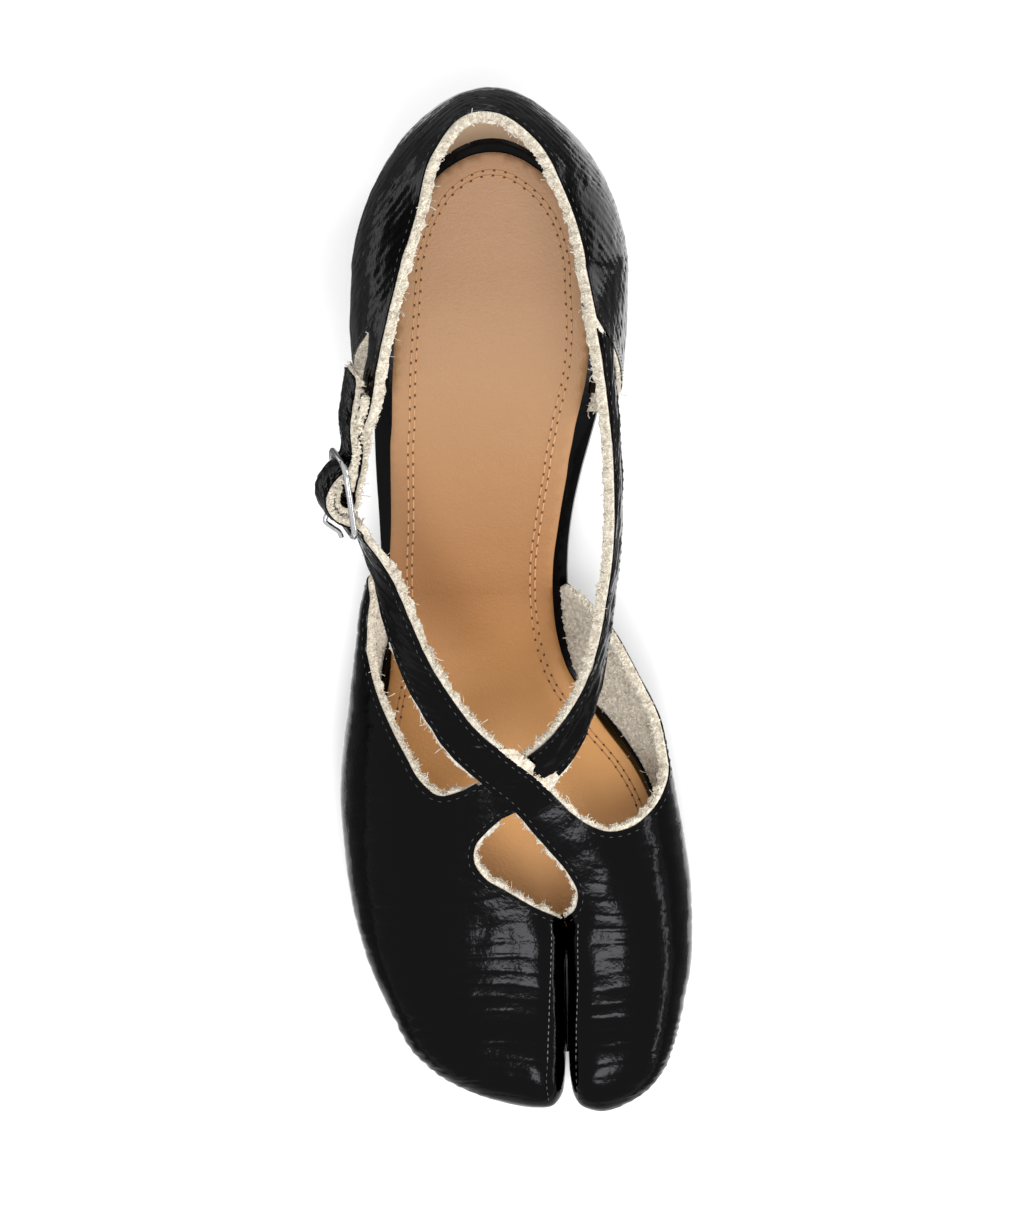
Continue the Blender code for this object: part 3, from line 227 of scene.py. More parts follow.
def triangulate(loop, pitch, clear=0.55):
    # Even triangles inside a closed loop of flat points.
    low, high = loop.min(axis=0), loop.max(axis=0)
    rows = np.arange(low[1], high[1], pitch * 0.866)
    grid = [np.stack([np.arange(low[0] + (k % 2) * pitch / 2, high[0], pitch),
                      np.full(len(np.arange(low[0] + (k % 2) * pitch / 2, high[0], pitch)), y)], axis=1)
            for k, y in enumerate(rows)]
    grid = np.concatenate(grid)
    grid = grid[inside(grid, loop)]
    away = np.min(np.linalg.norm(grid[:, None] - loop[None], axis=2), axis=1)
    points = np.concatenate([loop, grid[away > clear * pitch]])
    edges = [(i, (i + 1) % len(loop)) for i in range(len(loop))]
    verts, _, faces, *_ = delaunay_2d_cdt([Vector(p) for p in points], edges, [], 0, 1e-5)
    flat = np.array([(v.x, v.y) for v in verts])
    faces = np.array([f for f in faces if len(f) == 3])
    faces = faces[inside(flat[faces].mean(axis=1), loop)]
    one, two = flat[faces[:, 1]] - flat[faces[:, 0]], flat[faces[:, 2]] - flat[faces[:, 0]]
    turned = one[:, 0] * two[:, 1] - one[:, 1] * two[:, 0] < 0
    faces[turned] = faces[turned][:, ::-1]
    return flat, faces


# sections fanned round an end
capRun = 90.0                  # how much station length the half turn round an end is given
stationStep, capStations, samples = 1.5, 61, 72


class Fan:
    # Sections square to a centre line, fanned round its end like the ribs of a half dome.
    # A flat point (x, y) lies beside the centre line at `start + length down the section`;
    # `place` puts it on the section itself.
    def __init__(self, axis, endY, sense, reachY):
        self.axis, self.endY, self.sense = axis, endY, sense
        body = np.arange(0, abs(reachY - endY) + stationStep, stationStep)
        turn = np.linspace(0, 180, capStations)
        self.side = np.concatenate([-np.ones(len(body)), np.zeros(len(turn)), np.ones(len(body))])
        self.y = np.concatenate([endY - sense * body[::-1], np.full(len(turn), endY), endY - sense * body])
        self.turn = np.concatenate([np.zeros(len(body)), turn, np.full(len(body), 180.0)])
        self.station = np.concatenate([-body[::-1] - 1e-6, turn / 180 * capRun, capRun + body + 1e-6])
        self.centreX = axis(self.y)

    def ends(self, radius):
        # Plan y of points at this radius along each station.
        return self.y + self.sense * radius * np.sin(np.radians(self.turn)) * (self.side == 0)

    def setSections(self, radius, height, start):
        # Section points from the top down, resampled to even steps.
        self.start = start
        steps = np.hypot(np.diff(radius, axis=1), np.diff(height, axis=1))
        run = np.concatenate([np.zeros((len(radius), 1)), np.cumsum(steps, axis=1)], axis=1)
        self.length = run[:, -1]
        even = np.linspace(0, 1, samples)
        self.radius = np.stack([np.interp(even * n[-1], n, r) for n, r in zip(run, radius)])
        self.height = np.stack([np.interp(even * n[-1], n, h) for n, h in zip(run, height)])

    def locate(self, flat):
        # Station, distance from the centre line, and direction of each flat point.
        x, y = flat[:, 0], flat[:, 1]
        past = self.sense * (y - self.endY)
        axisX = self.axis(np.where(past > 0, self.endY, y))
        dx, dy = x - axisX, np.where(past > 0, y - self.endY, 0.0)
        away = np.hypot(dx, dy)
        turn = np.arctan2(self.sense * dy, -dx)
        body = np.where(dx < 0, past, capRun - past)
        station = np.where(past > 0, turn / math.pi * capRun, body)
        direction = np.stack([dx, dy], axis=1) / np.maximum(away, 1e-6)[:, None]
        centre = np.stack([axisX, np.where(past > 0, self.endY, y)], axis=1)
        return station, away, direction, centre

    def along(self, values, station):
        return np.interp(station, self.station, values)

    def awayAt(self, station, fraction):
        # Distance from the centre line at a fraction of the way down the sections.
        return self.along(self.start, station) + fraction * self.along(self.length, station)

    def down(self, station, away):
        # Fraction of the section's length.
        return (away - self.along(self.start, station)) / self.along(self.length, station)

    def place(self, flat):
        station, away, direction, centre = self.locate(flat)
        g = np.clip(self.down(station, away), -0.06, 1) * (samples - 1)     # carried on above the topline
        j = np.clip(g.astype(int), 0, samples - 2)
        i = np.clip(np.searchsorted(self.station, station) - 1, 0, len(self.station) - 2)
        s = np.clip((station - self.station[i]) / (self.station[i + 1] - self.station[i]), 0, 1)
        t = g - j

        def blend(grid):
            near = grid[i, j] * (1 - t) + grid[i, j + 1] * t
            far = grid[i + 1, j] * (1 - t) + grid[i + 1, j + 1] * t
            return near * (1 - s) + far * s

        plan = centre + direction * blend(self.radius)[:, None]
        return np.column_stack([plan, blend(self.height)])

    def flatAtStation(self, station, fraction):
        # Flat points a fraction of the way down the sections at these stations.
        turn = np.clip(station / capRun, 0, 1) * math.pi
        y = self.endY + self.sense * np.where(station < 0, station, np.minimum(capRun - station, 0))
        away = self.awayAt(station, fraction)
        return np.stack([self.axis(y) - np.cos(turn) * away, y + self.sense * np.sin(turn) * away], axis=-1)

    def flatAt(self, y, side, fraction):
        # Flat point beside the centre line at y, a fraction of the way down its section.
        y, fraction = np.broadcast_arrays(np.asarray(y, float), np.asarray(fraction, float))
        past = self.sense * (y - self.endY)
        away = self.awayAt(np.where(side < 0, past, capRun - past), fraction)
        return np.stack([self.axis(y) + side * away, y], axis=-1)

    def flatFromPlan(self, points):
        # Flat points under which the upper part of the sections has these plan places.
        out = []
        for x, y in points:
            side = -1 if x < self.axis(np.array(y)) else 1
            fractions = np.linspace(0, 1, 400)
            line = self.place(self.flatAt(y, side, fractions))
            climb = np.maximum.accumulate(side * line[:, 0])
            top = np.argmax(side * line[:, 0])
            hit = np.interp(side * x, climb[:top + 1], fractions[:top + 1])
            out.append(self.flatAt(y, side, hit))
        return np.array(out)

    def rim(self, fraction, yFrom, yTo, pitch):
        # Flat curve at one fraction down, from the low-x side at yFrom round to yTo.
        first = self.sense * (yFrom - self.endY)
        last = capRun - self.sense * (yTo - self.endY)
        return curve(self.flatAtStation(np.linspace(first, last, 600), fraction), pitch)


toeMake = {"inset": 3.5, "narrowest": 2.0, "swellBelow": 4, "tuck": 1.6, "reachY": 10.0}
counterMake = {"swell": 17, "lean": 1.75, "tuck": 1.8, "reachY": 36.0}


def dome(reach, foot, top, swell, floor, squareness):
    # Section over a toe: from the ridge out to the widest line, then in to the sole.
    a = np.linspace(0, math.pi / 2, 90)[None]
    power = 2 / squareness[:, None]
    radius = reach[:, None] * np.sin(a) ** power
    height = swell[:, None] + (top - swell)[:, None] * np.maximum(np.cos(a), 0) ** power
    v = np.linspace(0.04, 1, 30)[None]
    tuck = reach[:, None] - (reach - foot)[:, None] * v ** toeMake["tuck"]
    fall = swell[:, None] - (swell - floor)[:, None] * v
    return np.concatenate([radius, tuck], axis=1), np.concatenate([height, fall], axis=1)


def toeFan(outline, outer):
    # Sections of one lobe of the vamp; `outer` is the four-toe lobe.
    lobe = "outerX" if outer else "innerX"
    fan = Fan(lambda y: read(spineLine, lobe, y), toeCapY, -1, toeMake["reachY"])
    ring = curve(np.column_stack([outline["x"], outline["y"]]), 0.5)
    polar = np.degrees(np.arctan2(toeCapY - ring[:, 1], fan.axis(toeCapY) - ring[:, 0]))
    order = np.argsort(polar)
    away = np.hypot(ring[:, 0] - fan.axis(toeCapY), ring[:, 1] - toeCapY)
    cap = np.interp(fan.turn, polar[order], away[order])
    openSide, name = (-1, "out") if outer else (1, "in")
    onOpen, onSplit = fan.side == openSide, fan.side == -openSide
    wide = openSide * (read(sides, name + "Wide", fan.y) - fan.centreX)
    wall = -openSide * (read(splitLine, lobe, fan.y) - fan.centreX)
    reach = np.where(onOpen, wide, np.where(onSplit, np.maximum(wall, toeMake["narrowest"]), cap))
    toSplit = fan.turn / 180 if outer else 1 - fan.turn / 180
    sole = openSide * (read(sides, name + "Sole", fan.y) - fan.centreX)
    inset = np.where(onOpen, wide - sole, toeMake["inset"])
    inset = inset * (1 - ramp(toSplit, 0.82, 0.97)) * ~onSplit
    foot = reach - inset
    floor = layerHeight(fan.ends(foot), layers["foot"])
    top = layerHeight(fan.y, layers["foot"]) + read(vamp, "ridge", fan.y)
    swell = layerHeight(fan.ends(reach), layers["foot"]) + read(vamp, name + "Swell", fan.y)
    swell = np.minimum(swell, top - toeMake["swellBelow"])
    square, boxed = read(vamp, "squareness", fan.y), read(splitLine, "squareness", fan.y)
    square = square + (boxed - square) * np.where(onSplit, 1, ramp(toSplit, 0.5, 1))
    fan.setSections(*dome(reach, foot, top, swell, floor, square), np.zeros(len(reach)))
    return fan


def heelFan():
    # Sections of the heel counter, from the topline down to the sole.
    fan = Fan(lambda y: np.zeros_like(np.asarray(y, float)) + heelAxisX, heelCapY, 1, counterMake["reachY"])
    left, cap = fan.side < 0, fan.side == 0

    def pick(ring, outSide, inSide, tab):
        side = np.where(left, heelAxisX - read(tab, outSide, fan.y), read(tab, inSide, fan.y) - heelAxisX)
        return np.where(cap, read(heelRing, ring, fan.turn, "turn"), side)

    top, wide = pick("top", "outX", "inX", heelTopline), pick("wide", "outWide", "inWide", sides)
    foot = pick("sole", "outSole", "inSole", sides)
    topZ = np.where(cap, read(heelRing, "topZ", fan.turn, "turn"), read(heelTopline, "z", fan.y))
    floor = layerHeight(fan.ends(foot), layers["foot"])
    swell = floor + counterMake["swell"]
    v = np.linspace(0, 1, 60)[None]
    radius = wide[:, None] - (wide - top)[:, None] * (1 - v) ** counterMake["lean"]
    height = topZ[:, None] - (topZ - swell)[:, None] * v
    w = v[:, 1:]
    tuck = wide[:, None] - (wide - foot)[:, None] * w ** counterMake["tuck"]
    fall = swell[:, None] - counterMake["swell"] * w
    start = np.where(cap, top, np.where(left, top[fan.side < 0][-1], top[fan.side > 0][0]))
    fan.setSections(np.concatenate([radius, tuck], axis=1), np.concatenate([height, fall], axis=1), start)
    return fan


# straps
def buckleAxes():
    # Along the strap, across it upwards, and out from the shoe.
    along = unit(np.array(buckle["along"]))
    up = unit(np.array([0.0, 0.0, 1.0]) - along * along[2])
    out = np.cross(up, along)
    out = out if out[0] < 0 else -out
    leanOut = out * math.cos(buckle["lean"]) + up * math.sin(buckle["lean"])
    leanUp = up * math.cos(buckle["lean"]) - out * math.sin(buckle["lean"])
    return along, leanUp, leanOut


def atBuckle(along, across, out):
    axes = buckleAxes()
    return np.array(buckle["centre"]) + along * axes[0] + across * axes[1] + out * axes[2]


class Strap:
    # A band with a middle line and a width direction, laid out flat from `root` along `heading`.
    # Its upper edge lies left of the heading where `hand` is 1, and right of it where it is -1.
    def __init__(self, rows, bend, stretch, root, heading, hand):
        middle = np.column_stack([rows["x"], rows["y"], rows["z"]])
        width = np.column_stack([rows["wx"], rows["wy"], rows["wz"]])
        steps = chord(middle)
        if bend is not None:
            tail = np.array([atBuckle(a, 0, o) for a, o in zip(bend["along"], bend["out"])])
            join = steps[-1] + np.linalg.norm(tail[0] - middle[-1])
            steps = np.concatenate([steps, join + stretch * chord(tail)])
            middle = np.concatenate([middle, tail])
            width = np.concatenate([width, np.tile(buckleAxes()[1], (len(tail), 1))])
        self.run, self.middle, self.width = steps, middle, width
        self.bendRun = steps[len(rows["x"])] if bend is not None else steps[-1]
        self.root, self.heading = np.array(root, float), unit(np.array(heading, float))
        self.hand = hand
        self.across = hand * np.array([-self.heading[1], self.heading[0]])

    def coordinates(self, flat):
        offset = flat - self.root
        return offset @ self.heading, offset @ self.across

    def flat(self, run, across):
        return self.root + run * self.heading + across * self.across

    def line(self, run):
        return np.stack([smooth(run, self.run, self.middle[:, k]) for k in range(3)], axis=-1)

    def place(self, run, across):
        wide = unit(np.stack([smooth(run, self.run, self.width[:, k]) for k in range(3)], axis=-1))
        ahead = unit(self.line(run + 0.4) - self.line(run - 0.4) + 1e-9)
        facing = unit(np.cross(ahead, wide)) * self.hand
        swell = strapCrown * (1 - (2 * across / strapWidth) ** 2)
        return self.line(run) + across[:, None] * wide + swell[:, None] * facing


def onBand(across):
    # Whether points lie beside a strap's middle line, and not elsewhere on its panel.
    return np.abs(across) < strapWidth * 0.75


def blended(base, strap):
    # Puts flat points on the fan, and past the strap's root on the strap.
    def place(flat):
        run, across = strap.coordinates(flat)
        share = ramp(run, 0, strapBlend) * onBand(across) * (run > 0)
        onBase = base.place(flat)
        onStrap = strap.place(np.maximum(run, 0), across)
        return onBase * (1 - share)[:, None] + onStrap * share[:, None]
    return place


# outlines of the flat panels
def loopOf(*stretches, pitch):
    # One closed loop from stretches of flat points, each sampled by itself; shared ends merge.
    points = np.concatenate([curve(s, pitch) for s in stretches])
    nearest = np.linalg.norm(points - np.roll(points, 1, axis=0), axis=1)
    return points[nearest > 0.25 * pitch]


def strapEdge(strap, across, runFrom, runTo):
    return np.array([strap.flat(runFrom, across), strap.flat(runTo, across)])


def tipOf(strap, run, radius):
    # Rounded end of a strap, from its upper to its lower edge.
    half = strapWidth / 2
    turn = np.radians((0, 30, 60, 90))
    bend = [(run - radius + radius * math.sin(a), half - radius + radius * math.cos(a)) for a in turn]
    return np.array([strap.flat(r, w) for r, w in bend] + [strap.flat(r, -w) for r, w in bend[::-1]])


# plan of the sole
def footPoints(fan, keep, cut, splitCut, outer):
    # Plan of the upper's foot along a fan's stations, moved in by cut, or splitCut at the split.
    toSplit = fan.turn / 180 if outer else 1 - fan.turn / 180
    onSplit = fan.side == (1 if outer else -1)
    near = np.where(onSplit, 1.0, ramp(toSplit, 0.86, 1.0))
    runIn, fall = fan.radius[:, -2] - fan.radius[:, -1], fan.height[:, -2] - fan.height[:, -1]
    lean = np.hypot(runIn, fall) / fall            # a leaning wall is thicker in plan
    lean = lean * np.where(fan.side == 0, layers["capSlant"], 1)
    radius = fan.radius[:, -1] - cut * lean * (1 - near) - splitCut * near
    angle = np.radians(fan.turn)
    x = fan.centreX - radius * np.cos(angle)
    y = fan.y + fan.sense * radius * np.sin(angle) * (fan.side == 0)
    wanted = (fan.side == 0) | (onSplit & (fan.y < keep)) | (~onSplit & (fan.side != 0) & (fan.y <= vampEndY))
    return np.column_stack([x, y])[wanted]


def soleLoop(outerFan, innerFan, cut, splitCut, slotY, pitch):
    # Plan of the sole moved in by cut: both toe lobes, waist and heel.
    left = footPoints(outerFan, slotY, cut, splitCut, outer=True)
    right = footPoints(innerFan, slotY, cut, splitCut, outer=False)
    y = np.linspace(vampEndY + 4, heelCapY, 14)
    sideCut = cut * (1 + (layers["heelLean"] - 1) * ramp(y, 32, 42))
    innerSide = np.column_stack([read(sides, "inSole", y) - sideCut, y])
    outerSide = np.column_stack([read(sides, "outSole", y) + sideCut, y])
    turn = np.linspace(0, 180, 37)
    radius = read(heelRing, "sole", turn, "turn") - cut * layers["heelLean"]
    ring = np.column_stack([heelAxisX - radius * np.cos(np.radians(turn)),
                            heelCapY + radius * np.sin(np.radians(turn))])
    rear = np.concatenate([right[-1:], innerSide, ring[::-1][1:-1], outerSide[::-1], left[:1]])
    return loopOf(left, right, rear, pitch=pitch)


# noise and meshes
def waves(x, y, size, seed, count=9):
    # Smooth wander between about -1 and 1, its bumps about `size` across.
    draw = np.random.default_rng(seed)
    total = np.zeros(np.broadcast(x, y).shape)
    for _ in range(count):
        angle, phase = draw.uniform(0, 2 * math.pi), draw.uniform(0, 2 * math.pi)
        length = size * draw.uniform(0.6, 1.6)
        total = total + np.sin((x * math.cos(angle) + y * math.sin(angle)) * 2 * math.pi / length + phase)
    return total / math.sqrt(count)


def toWorld(points):
    return (np.asarray(points, float) - np.array([*shoeCentre, 0.0])) * mm


def inScene(name, data):
    obj = bpy.data.objects.new(name, data)
    bpy.context.scene.collection.objects.link(obj)
    return obj


def makeObject(name, points, faces, material=None):
    mesh = bpy.data.meshes.new(name)
    mesh.from_pydata(toWorld(points).tolist(), [], [[int(i) for i in f] for f in faces])
    mesh.shade_smooth()
    if material:
        mesh.materials.append(material)
    return inScene(name, mesh)


def lineObject(name, points, edges=None):
    # A bare line through the points, or the given edges between them.
    edges = [(k, k + 1) for k in range(len(points) - 1)] if edges is None else edges
    mesh = bpy.data.meshes.new(name)
    mesh.from_pydata(toWorld(points).tolist(), [tuple(int(i) for i in e) for e in edges], [])
    return inScene(name, mesh)


def copied(obj, name):
    return inScene(name, obj.data.copy())


def settle(obj):
    # Keeps what the modifiers make as plain mesh.
    graph = bpy.context.evaluated_depsgraph_get()
    mesh = bpy.data.meshes.new_from_object(obj.evaluated_get(graph))
    obj.modifiers.clear()
    old, obj.data = obj.data, mesh
    bpy.data.meshes.remove(old)
    return obj


def rounded(obj, width):
    # Rounds the sharp edges over this many millimetres.
    cut = obj.modifiers.new("round", "BEVEL")
    cut.width, cut.segments, cut.limit_method, cut.angle_limit = width * mm, 3, "ANGLE", math.radians(50)
    return settle(obj)


def gridFaces(rows, columns, around=False, ringed=False):
    # Quads over rows of points; `around` joins the last column to the first, `ringed` the last row.
    return [(r * columns + c, r * columns + (c + 1) % columns,
             (r + 1) % rows * columns + (c + 1) % columns, (r + 1) % rows * columns + c)
            for r in range(rows if ringed else rows - 1) for c in range(columns if around else columns - 1)]


def normalsOf(points, faces):
    faces = np.asarray(faces)
    a, b, c = (points[faces[:, k]] for k in range(3))
    square = np.cross(b - a, c - a)
    total = np.zeros_like(points)
    for k in range(3):
        np.add.at(total, faces[:, k], square)
    return unit(total + 1e-12)


def borderOf(faces):
    # Directed edges that only one triangle has.
    edges = np.concatenate([faces[:, (0, 1)], faces[:, (1, 2)], faces[:, (2, 0)]])
    taken = {(a, b) for a, b in edges.tolist()}
    return np.array([e for e in edges.tolist() if (e[1], e[0]) not in taken])


def bothSides(faces, count):
    # The faces of a sheet, and the same ones turned over for its other side's points.
    return [tuple(f) for f in faces] + [tuple(f) for f in faces[:, ::-1] + count]


def thicken(points, faces, square, outer, inner, steps=1):
    # Closed wall between two offsets along the normals; the rim has `steps` bands.
    count = len(points)
    border = borderOf(faces)
    edge = np.unique(border)
    rings = [points + square * outer[:, None], points + square * inner[:, None]]
    index = [np.arange(count)]
    for k in range(1, steps):
        slot = np.full(count, -1)
        slot[edge] = 2 * count + (k - 1) * len(edge) + np.arange(len(edge))
        index.append(slot)
        rings.append(points[edge] + square[edge] * (outer + (inner - outer) * k / steps)[edge, None])
    index.append(np.arange(count) + count)
    rim = [(int(up[b]), int(up[a]), int(low[a]), int(low[b]))
           for up, low in zip(index, index[1:]) for a, b in border]
    return np.concatenate(rings), bothSides(faces, count) + rim


def nearEdge(flat, loop):
    # Distance of flat points from a closed loop's points.
    return np.concatenate([np.min(np.linalg.norm(part[:, None] - loop[None], axis=2), axis=1)
                           for part in np.array_split(flat, max(1, len(flat) // 1500))])


def grown(loop, amount):
    # The loop moved outwards by an amount at each point.
    ahead = unit(np.roll(loop, -1, axis=0) - np.roll(loop, 1, axis=0) + 1e-9)
    area = np.sum(loop[:, 0] * np.roll(loop[:, 1], -1) - loop[:, 1] * np.roll(loop[:, 0], -1))
    outward = np.stack([ahead[:, 1], -ahead[:, 0]], axis=1) * np.sign(area)
    return loop + outward * np.asarray(amount)[:, None]


def tube(name, line, radius, material, closed=False, sides=10):
    # A round cord along a line, its ends closed; the radius may change on the way.
    line, count = np.asarray(line, float), len(line)
    ahead = np.roll(line, -1, axis=0) - np.roll(line, 1, axis=0) if closed else np.gradient(line, axis=0)
    ahead = unit(ahead)
    side = [unit(np.cross(ahead[0], (0.31, 0.17, 0.93)))]
    for k in range(1, count):
        side.append(unit(side[-1] - ahead[k] * (side[-1] @ ahead[k])))
    side = np.array(side)
    up = np.cross(ahead, side)
    turn = np.arange(sides) * 2 * math.pi / sides
    radius = np.broadcast_to(np.asarray(radius, float), count)[:, None, None]
    rings = line[:, None] + radius * (np.cos(turn)[None, :, None] * side[:, None]
                                      + np.sin(turn)[None, :, None] * up[:, None])
    faces = gridFaces(count, sides, around=True, ringed=closed)
    if not closed:
        faces += [tuple(range(sides))[::-1], tuple((count - 1) * sides + j for j in range(sides))]
    return makeObject(name, rings.reshape(-1, 3), faces, material)


def strip(name, grid, square, outer, inner, material, steps=2):
    # A closed band over a grid of points, between two offsets along its normals.
    rows, columns = grid.shape[:2]
    index = np.arange(rows * columns).reshape(rows, columns)
    a, b, c, d = index[:-1, :-1], index[1:, :-1], index[1:, 1:], index[:-1, 1:]
    faces = np.concatenate([np.stack(corners, axis=-1).reshape(-1, 3) for corners in ((a, b, c), (a, c, d))])
    points, square = grid.reshape(-1, 3), square.reshape(-1, 3)
    if np.sum(normalsOf(points, faces) * square) < 0:
        faces = faces[:, ::-1]
    full = np.ones(len(points))
    return makeObject(name, *thicken(points, faces, square, full * outer, full * inner, steps), material)


# materials
def newMaterial(name, colour, roughness, metallic=0.0, **extra):
    material = bpy.data.materials.new(name)
    material.use_nodes = True
    shader = material.node_tree.nodes["Principled BSDF"]
    shader.inputs["Base Color"].default_value = (*colour, 1)
    shader.inputs["Roughness"].default_value = roughness
    shader.inputs["Metallic"].default_value = metallic
    for socket, value in extra.items():
        shader.inputs[socket.replace("_", " ")].default_value = value
    return material


def colourBy(material, factor, colours, stops):
    # The base colour runs through these colours as the factor passes the stops.
    tree = material.node_tree
    mix = tree.nodes.new("ShaderNodeValToRGB")
    while len(mix.color_ramp.elements) < len(colours):
        mix.color_ramp.elements.new(0.5)
    for stop, colour, at in zip(mix.color_ramp.elements, colours, stops):
        stop.position, stop.color = at, (*colour, 1)
    tree.links.new(factor, mix.inputs["Fac"])
    tree.links.new(mix.outputs["Color"], tree.nodes["Principled BSDF"].inputs["Base Color"])


def addBump(material, scale, height, detail=3.0, colours=None):
    # Noise in metres of object space: relief, and a blend of two colours if they are given.
    tree = material.node_tree
    nodes, links = tree.nodes, tree.links
    shader = nodes["Principled BSDF"]
    place = nodes.new("ShaderNodeTexCoord")
    noise = nodes.new("ShaderNodeTexNoise")
    noise.inputs["Scale"].default_value = scale
    noise.inputs["Detail"].default_value = detail
    bump = nodes.new("ShaderNodeBump")
    bump.inputs["Distance"].default_value = height
    links.new(place.outputs["Object"], noise.inputs["Vector"])
    links.new(noise.outputs["Fac"], bump.inputs["Height"])
    last = shader.inputs["Normal"].links
    if last:
        links.new(last[0].from_socket, bump.inputs["Normal"])
    links.new(bump.outputs["Normal"], shader.inputs["Normal"])
    if colours:
        colourBy(material, noise.outputs["Fac"], colours, (0.35, 0.65))


def addFade(material, axis, ends, colours):
    # The base colour changes smoothly between two places along an axis of object space.
    tree = material.node_tree
    nodes, links = tree.nodes, tree.links
    place, split = nodes.new("ShaderNodeTexCoord"), nodes.new("ShaderNodeSeparateXYZ")
    span = nodes.new("ShaderNodeMapRange")
    span.inputs["From Min"].default_value, span.inputs["From Max"].default_value = ends
    links.new(place.outputs["Object"], split.inputs[0])
    links.new(split.outputs[axis], span.inputs["Value"])
    colourBy(material, span.outputs["Result"], colours, [k / (len(colours) - 1) for k in range(len(colours))])


looks = {
    "film": {"colour": (0.0085, 0.0085, 0.009), "edge": 0.7, "roughness": 0.14, "ribHeight": 0.24},
    "pile": {"dark": (0.42, 0.36, 0.28), "light": (0.72, 0.67, 0.56)},
    # the sock's colours by place are painted light and shade: brighter at the toe and ball against the shade
    # under the vamp, darker over the sloping waist and arch, lighter at the heel that faces up
    "sock": {"toe": (0.87, 0.49, 0.23), "ball": (0.80, 0.41, 0.15), "waist": (0.305, 0.135, 0.045),
             "arch": (0.35, 0.189, 0.086), "heel": (0.405, 0.236, 0.133), "paintedLightShadeSpan": (-0.085, 0.095)},
    "grip": (0.44, 0.32, 0.215),
    "thread": {"pale": (0.15, 0.148, 0.14), "dim": (0.045, 0.045, 0.042), "tan": (0.50, 0.27, 0.125),
               # the needle holes' dark tone is painted shade inside each hole
               "hole": (0.10, 0.035, 0.012)},
}
# the film mirrors faintly at every angle, also where it is seen from the side
edgeTint = (looks["film"]["edge"],) * 3 + (1.0,)
film = newMaterial("glossyFilm", looks["film"]["colour"], looks["film"]["roughness"], 1.0,
                   Specular_Tint=edgeTint)
addBump(film, 900, 0.00006, detail=2)
pile = newMaterial("creamPile", looks["pile"]["light"], 0.95, Sheen_Weight=0.35, Sheen_Roughness=0.5)
addBump(pile, 1100, 0.0012, detail=5, colours=(looks["pile"]["dark"], looks["pile"]["light"]))
strandCloth = newMaterial("creamStrand", looks["pile"]["light"], 0.9, Sheen_Weight=0.2)
addBump(strandCloth, 700, 0.0002, detail=3, colours=(looks["pile"]["dark"], looks["pile"]["light"]))
# the sock's tan base colour runs along y through these colours of painted light and shade
sockLeatherPaintedShade = newMaterial("tanLeatherPaintedShade", looks["sock"]["ball"], 0.5)
addFade(sockLeatherPaintedShade, "Y", looks["sock"]["paintedLightShadeSpan"],
        [looks["sock"][place] for place in ("toe", "ball", "waist", "arch", "heel")])
addBump(sockLeatherPaintedShade, 90, 0.0003, detail=2)
addBump(sockLeatherPaintedShade, 1500, 0.00014, detail=4)
boardEdge = newMaterial("boardEdge", looks["film"]["colour"], 0.22, 1.0, Specular_Tint=edgeTint)
addBump(boardEdge, 300, 0.0001)
blackLeather = newMaterial("blackLeather", (0.011, 0.011, 0.011), 0.36)
addBump(blackLeather, 1800, 0.00008, detail=4)
rubber = newMaterial("heelRubber", (0.02, 0.02, 0.02), 0.7)
addBump(rubber, 2500, 0.0001)
chrome = newMaterial("buckleChrome", (0.5, 0.5, 0.51), 0.14, 1.0)
paleThread = newMaterial("paleThread", looks["thread"]["pale"], 0.7)
dimThread = newMaterial("dimThread", looks["thread"]["dim"], 0.6)
gripLeather = newMaterial("beigeLeather", looks["grip"], 0.55)
tanThread = newMaterial("tanThread", looks["thread"]["tan"], 0.6)
# needle holes: a dark tone that paints the shade inside each hole
holeShadeTone = newMaterial("needleHoleShade", looks["thread"]["hole"], 0.8)


# the upper's three panels: fan and strap, outline in flat stretches, and the wall's thickness
def thinnedBy(fan, flat, station, away, toSplit):
    # What the wall loses down the split, where toSplit says how near a point's station is to it.
    split = toSplit * (flat[:, 1] < cloth["thinFrom"]) * ramp(fan.down(station, away), *cloth["thinDown"])
    return (cloth["cleftWall"] - cloth["wall"]) * split


def strapOn(fan, rows, bend, stretch, hand):
    # A strap that starts at its first point on the fan and leaves it towards the second.
    root, ahead = fan.flatFromPlan(zip(rows["x"][:2], rows["y"][:2]))
    return Strap(rows, bend, stretch, root, ahead - root, hand)


def outerPanel():
    fan = toeFan(outerToes, outer=True)
    strap = strapOn(fan, strapUnder, None, 1.0, 1)
    half, end = strapWidth / 2, strap.run[-1]
    keyhole, topline = fan.flatFromPlan(keyholeOuter), fan.flatFromPlan(outerTopline)
    wing = np.array([topline[-1]] + [fan.flatAt(y, -1, g) for y, g in outerWing])
    seam = np.array([fan.flatAt(splitEndY, 1, 1.0), fan.flatAt(splitEndY, 1, 0.5), keyhole[0]])
    stretches = [fan.rim(1.0, outerWing[-1][0], splitEndY, 1.0), seam, keyhole,
                 np.array([keyhole[-1], strap.flat(keyholeGap, -half)]),
                 strapEdge(strap, -half, keyholeGap, end), strapEdge(strap, half, end, toplineGap),
                 np.array([strap.flat(toplineGap, half), topline[0]]), topline, wing]

    def wallAt(flat):
        station, away = fan.locate(flat)[:2]
        toSplit = ramp(station, 0.72 * capRun, 0.9 * capRun)
        return cloth["wall"] + thinnedBy(fan, flat, station, away, toSplit)

    return {"name": "vampOuter", "side": 1, "fan": fan, "strap": strap, "stretches": stretches,
            "wall": wallAt}


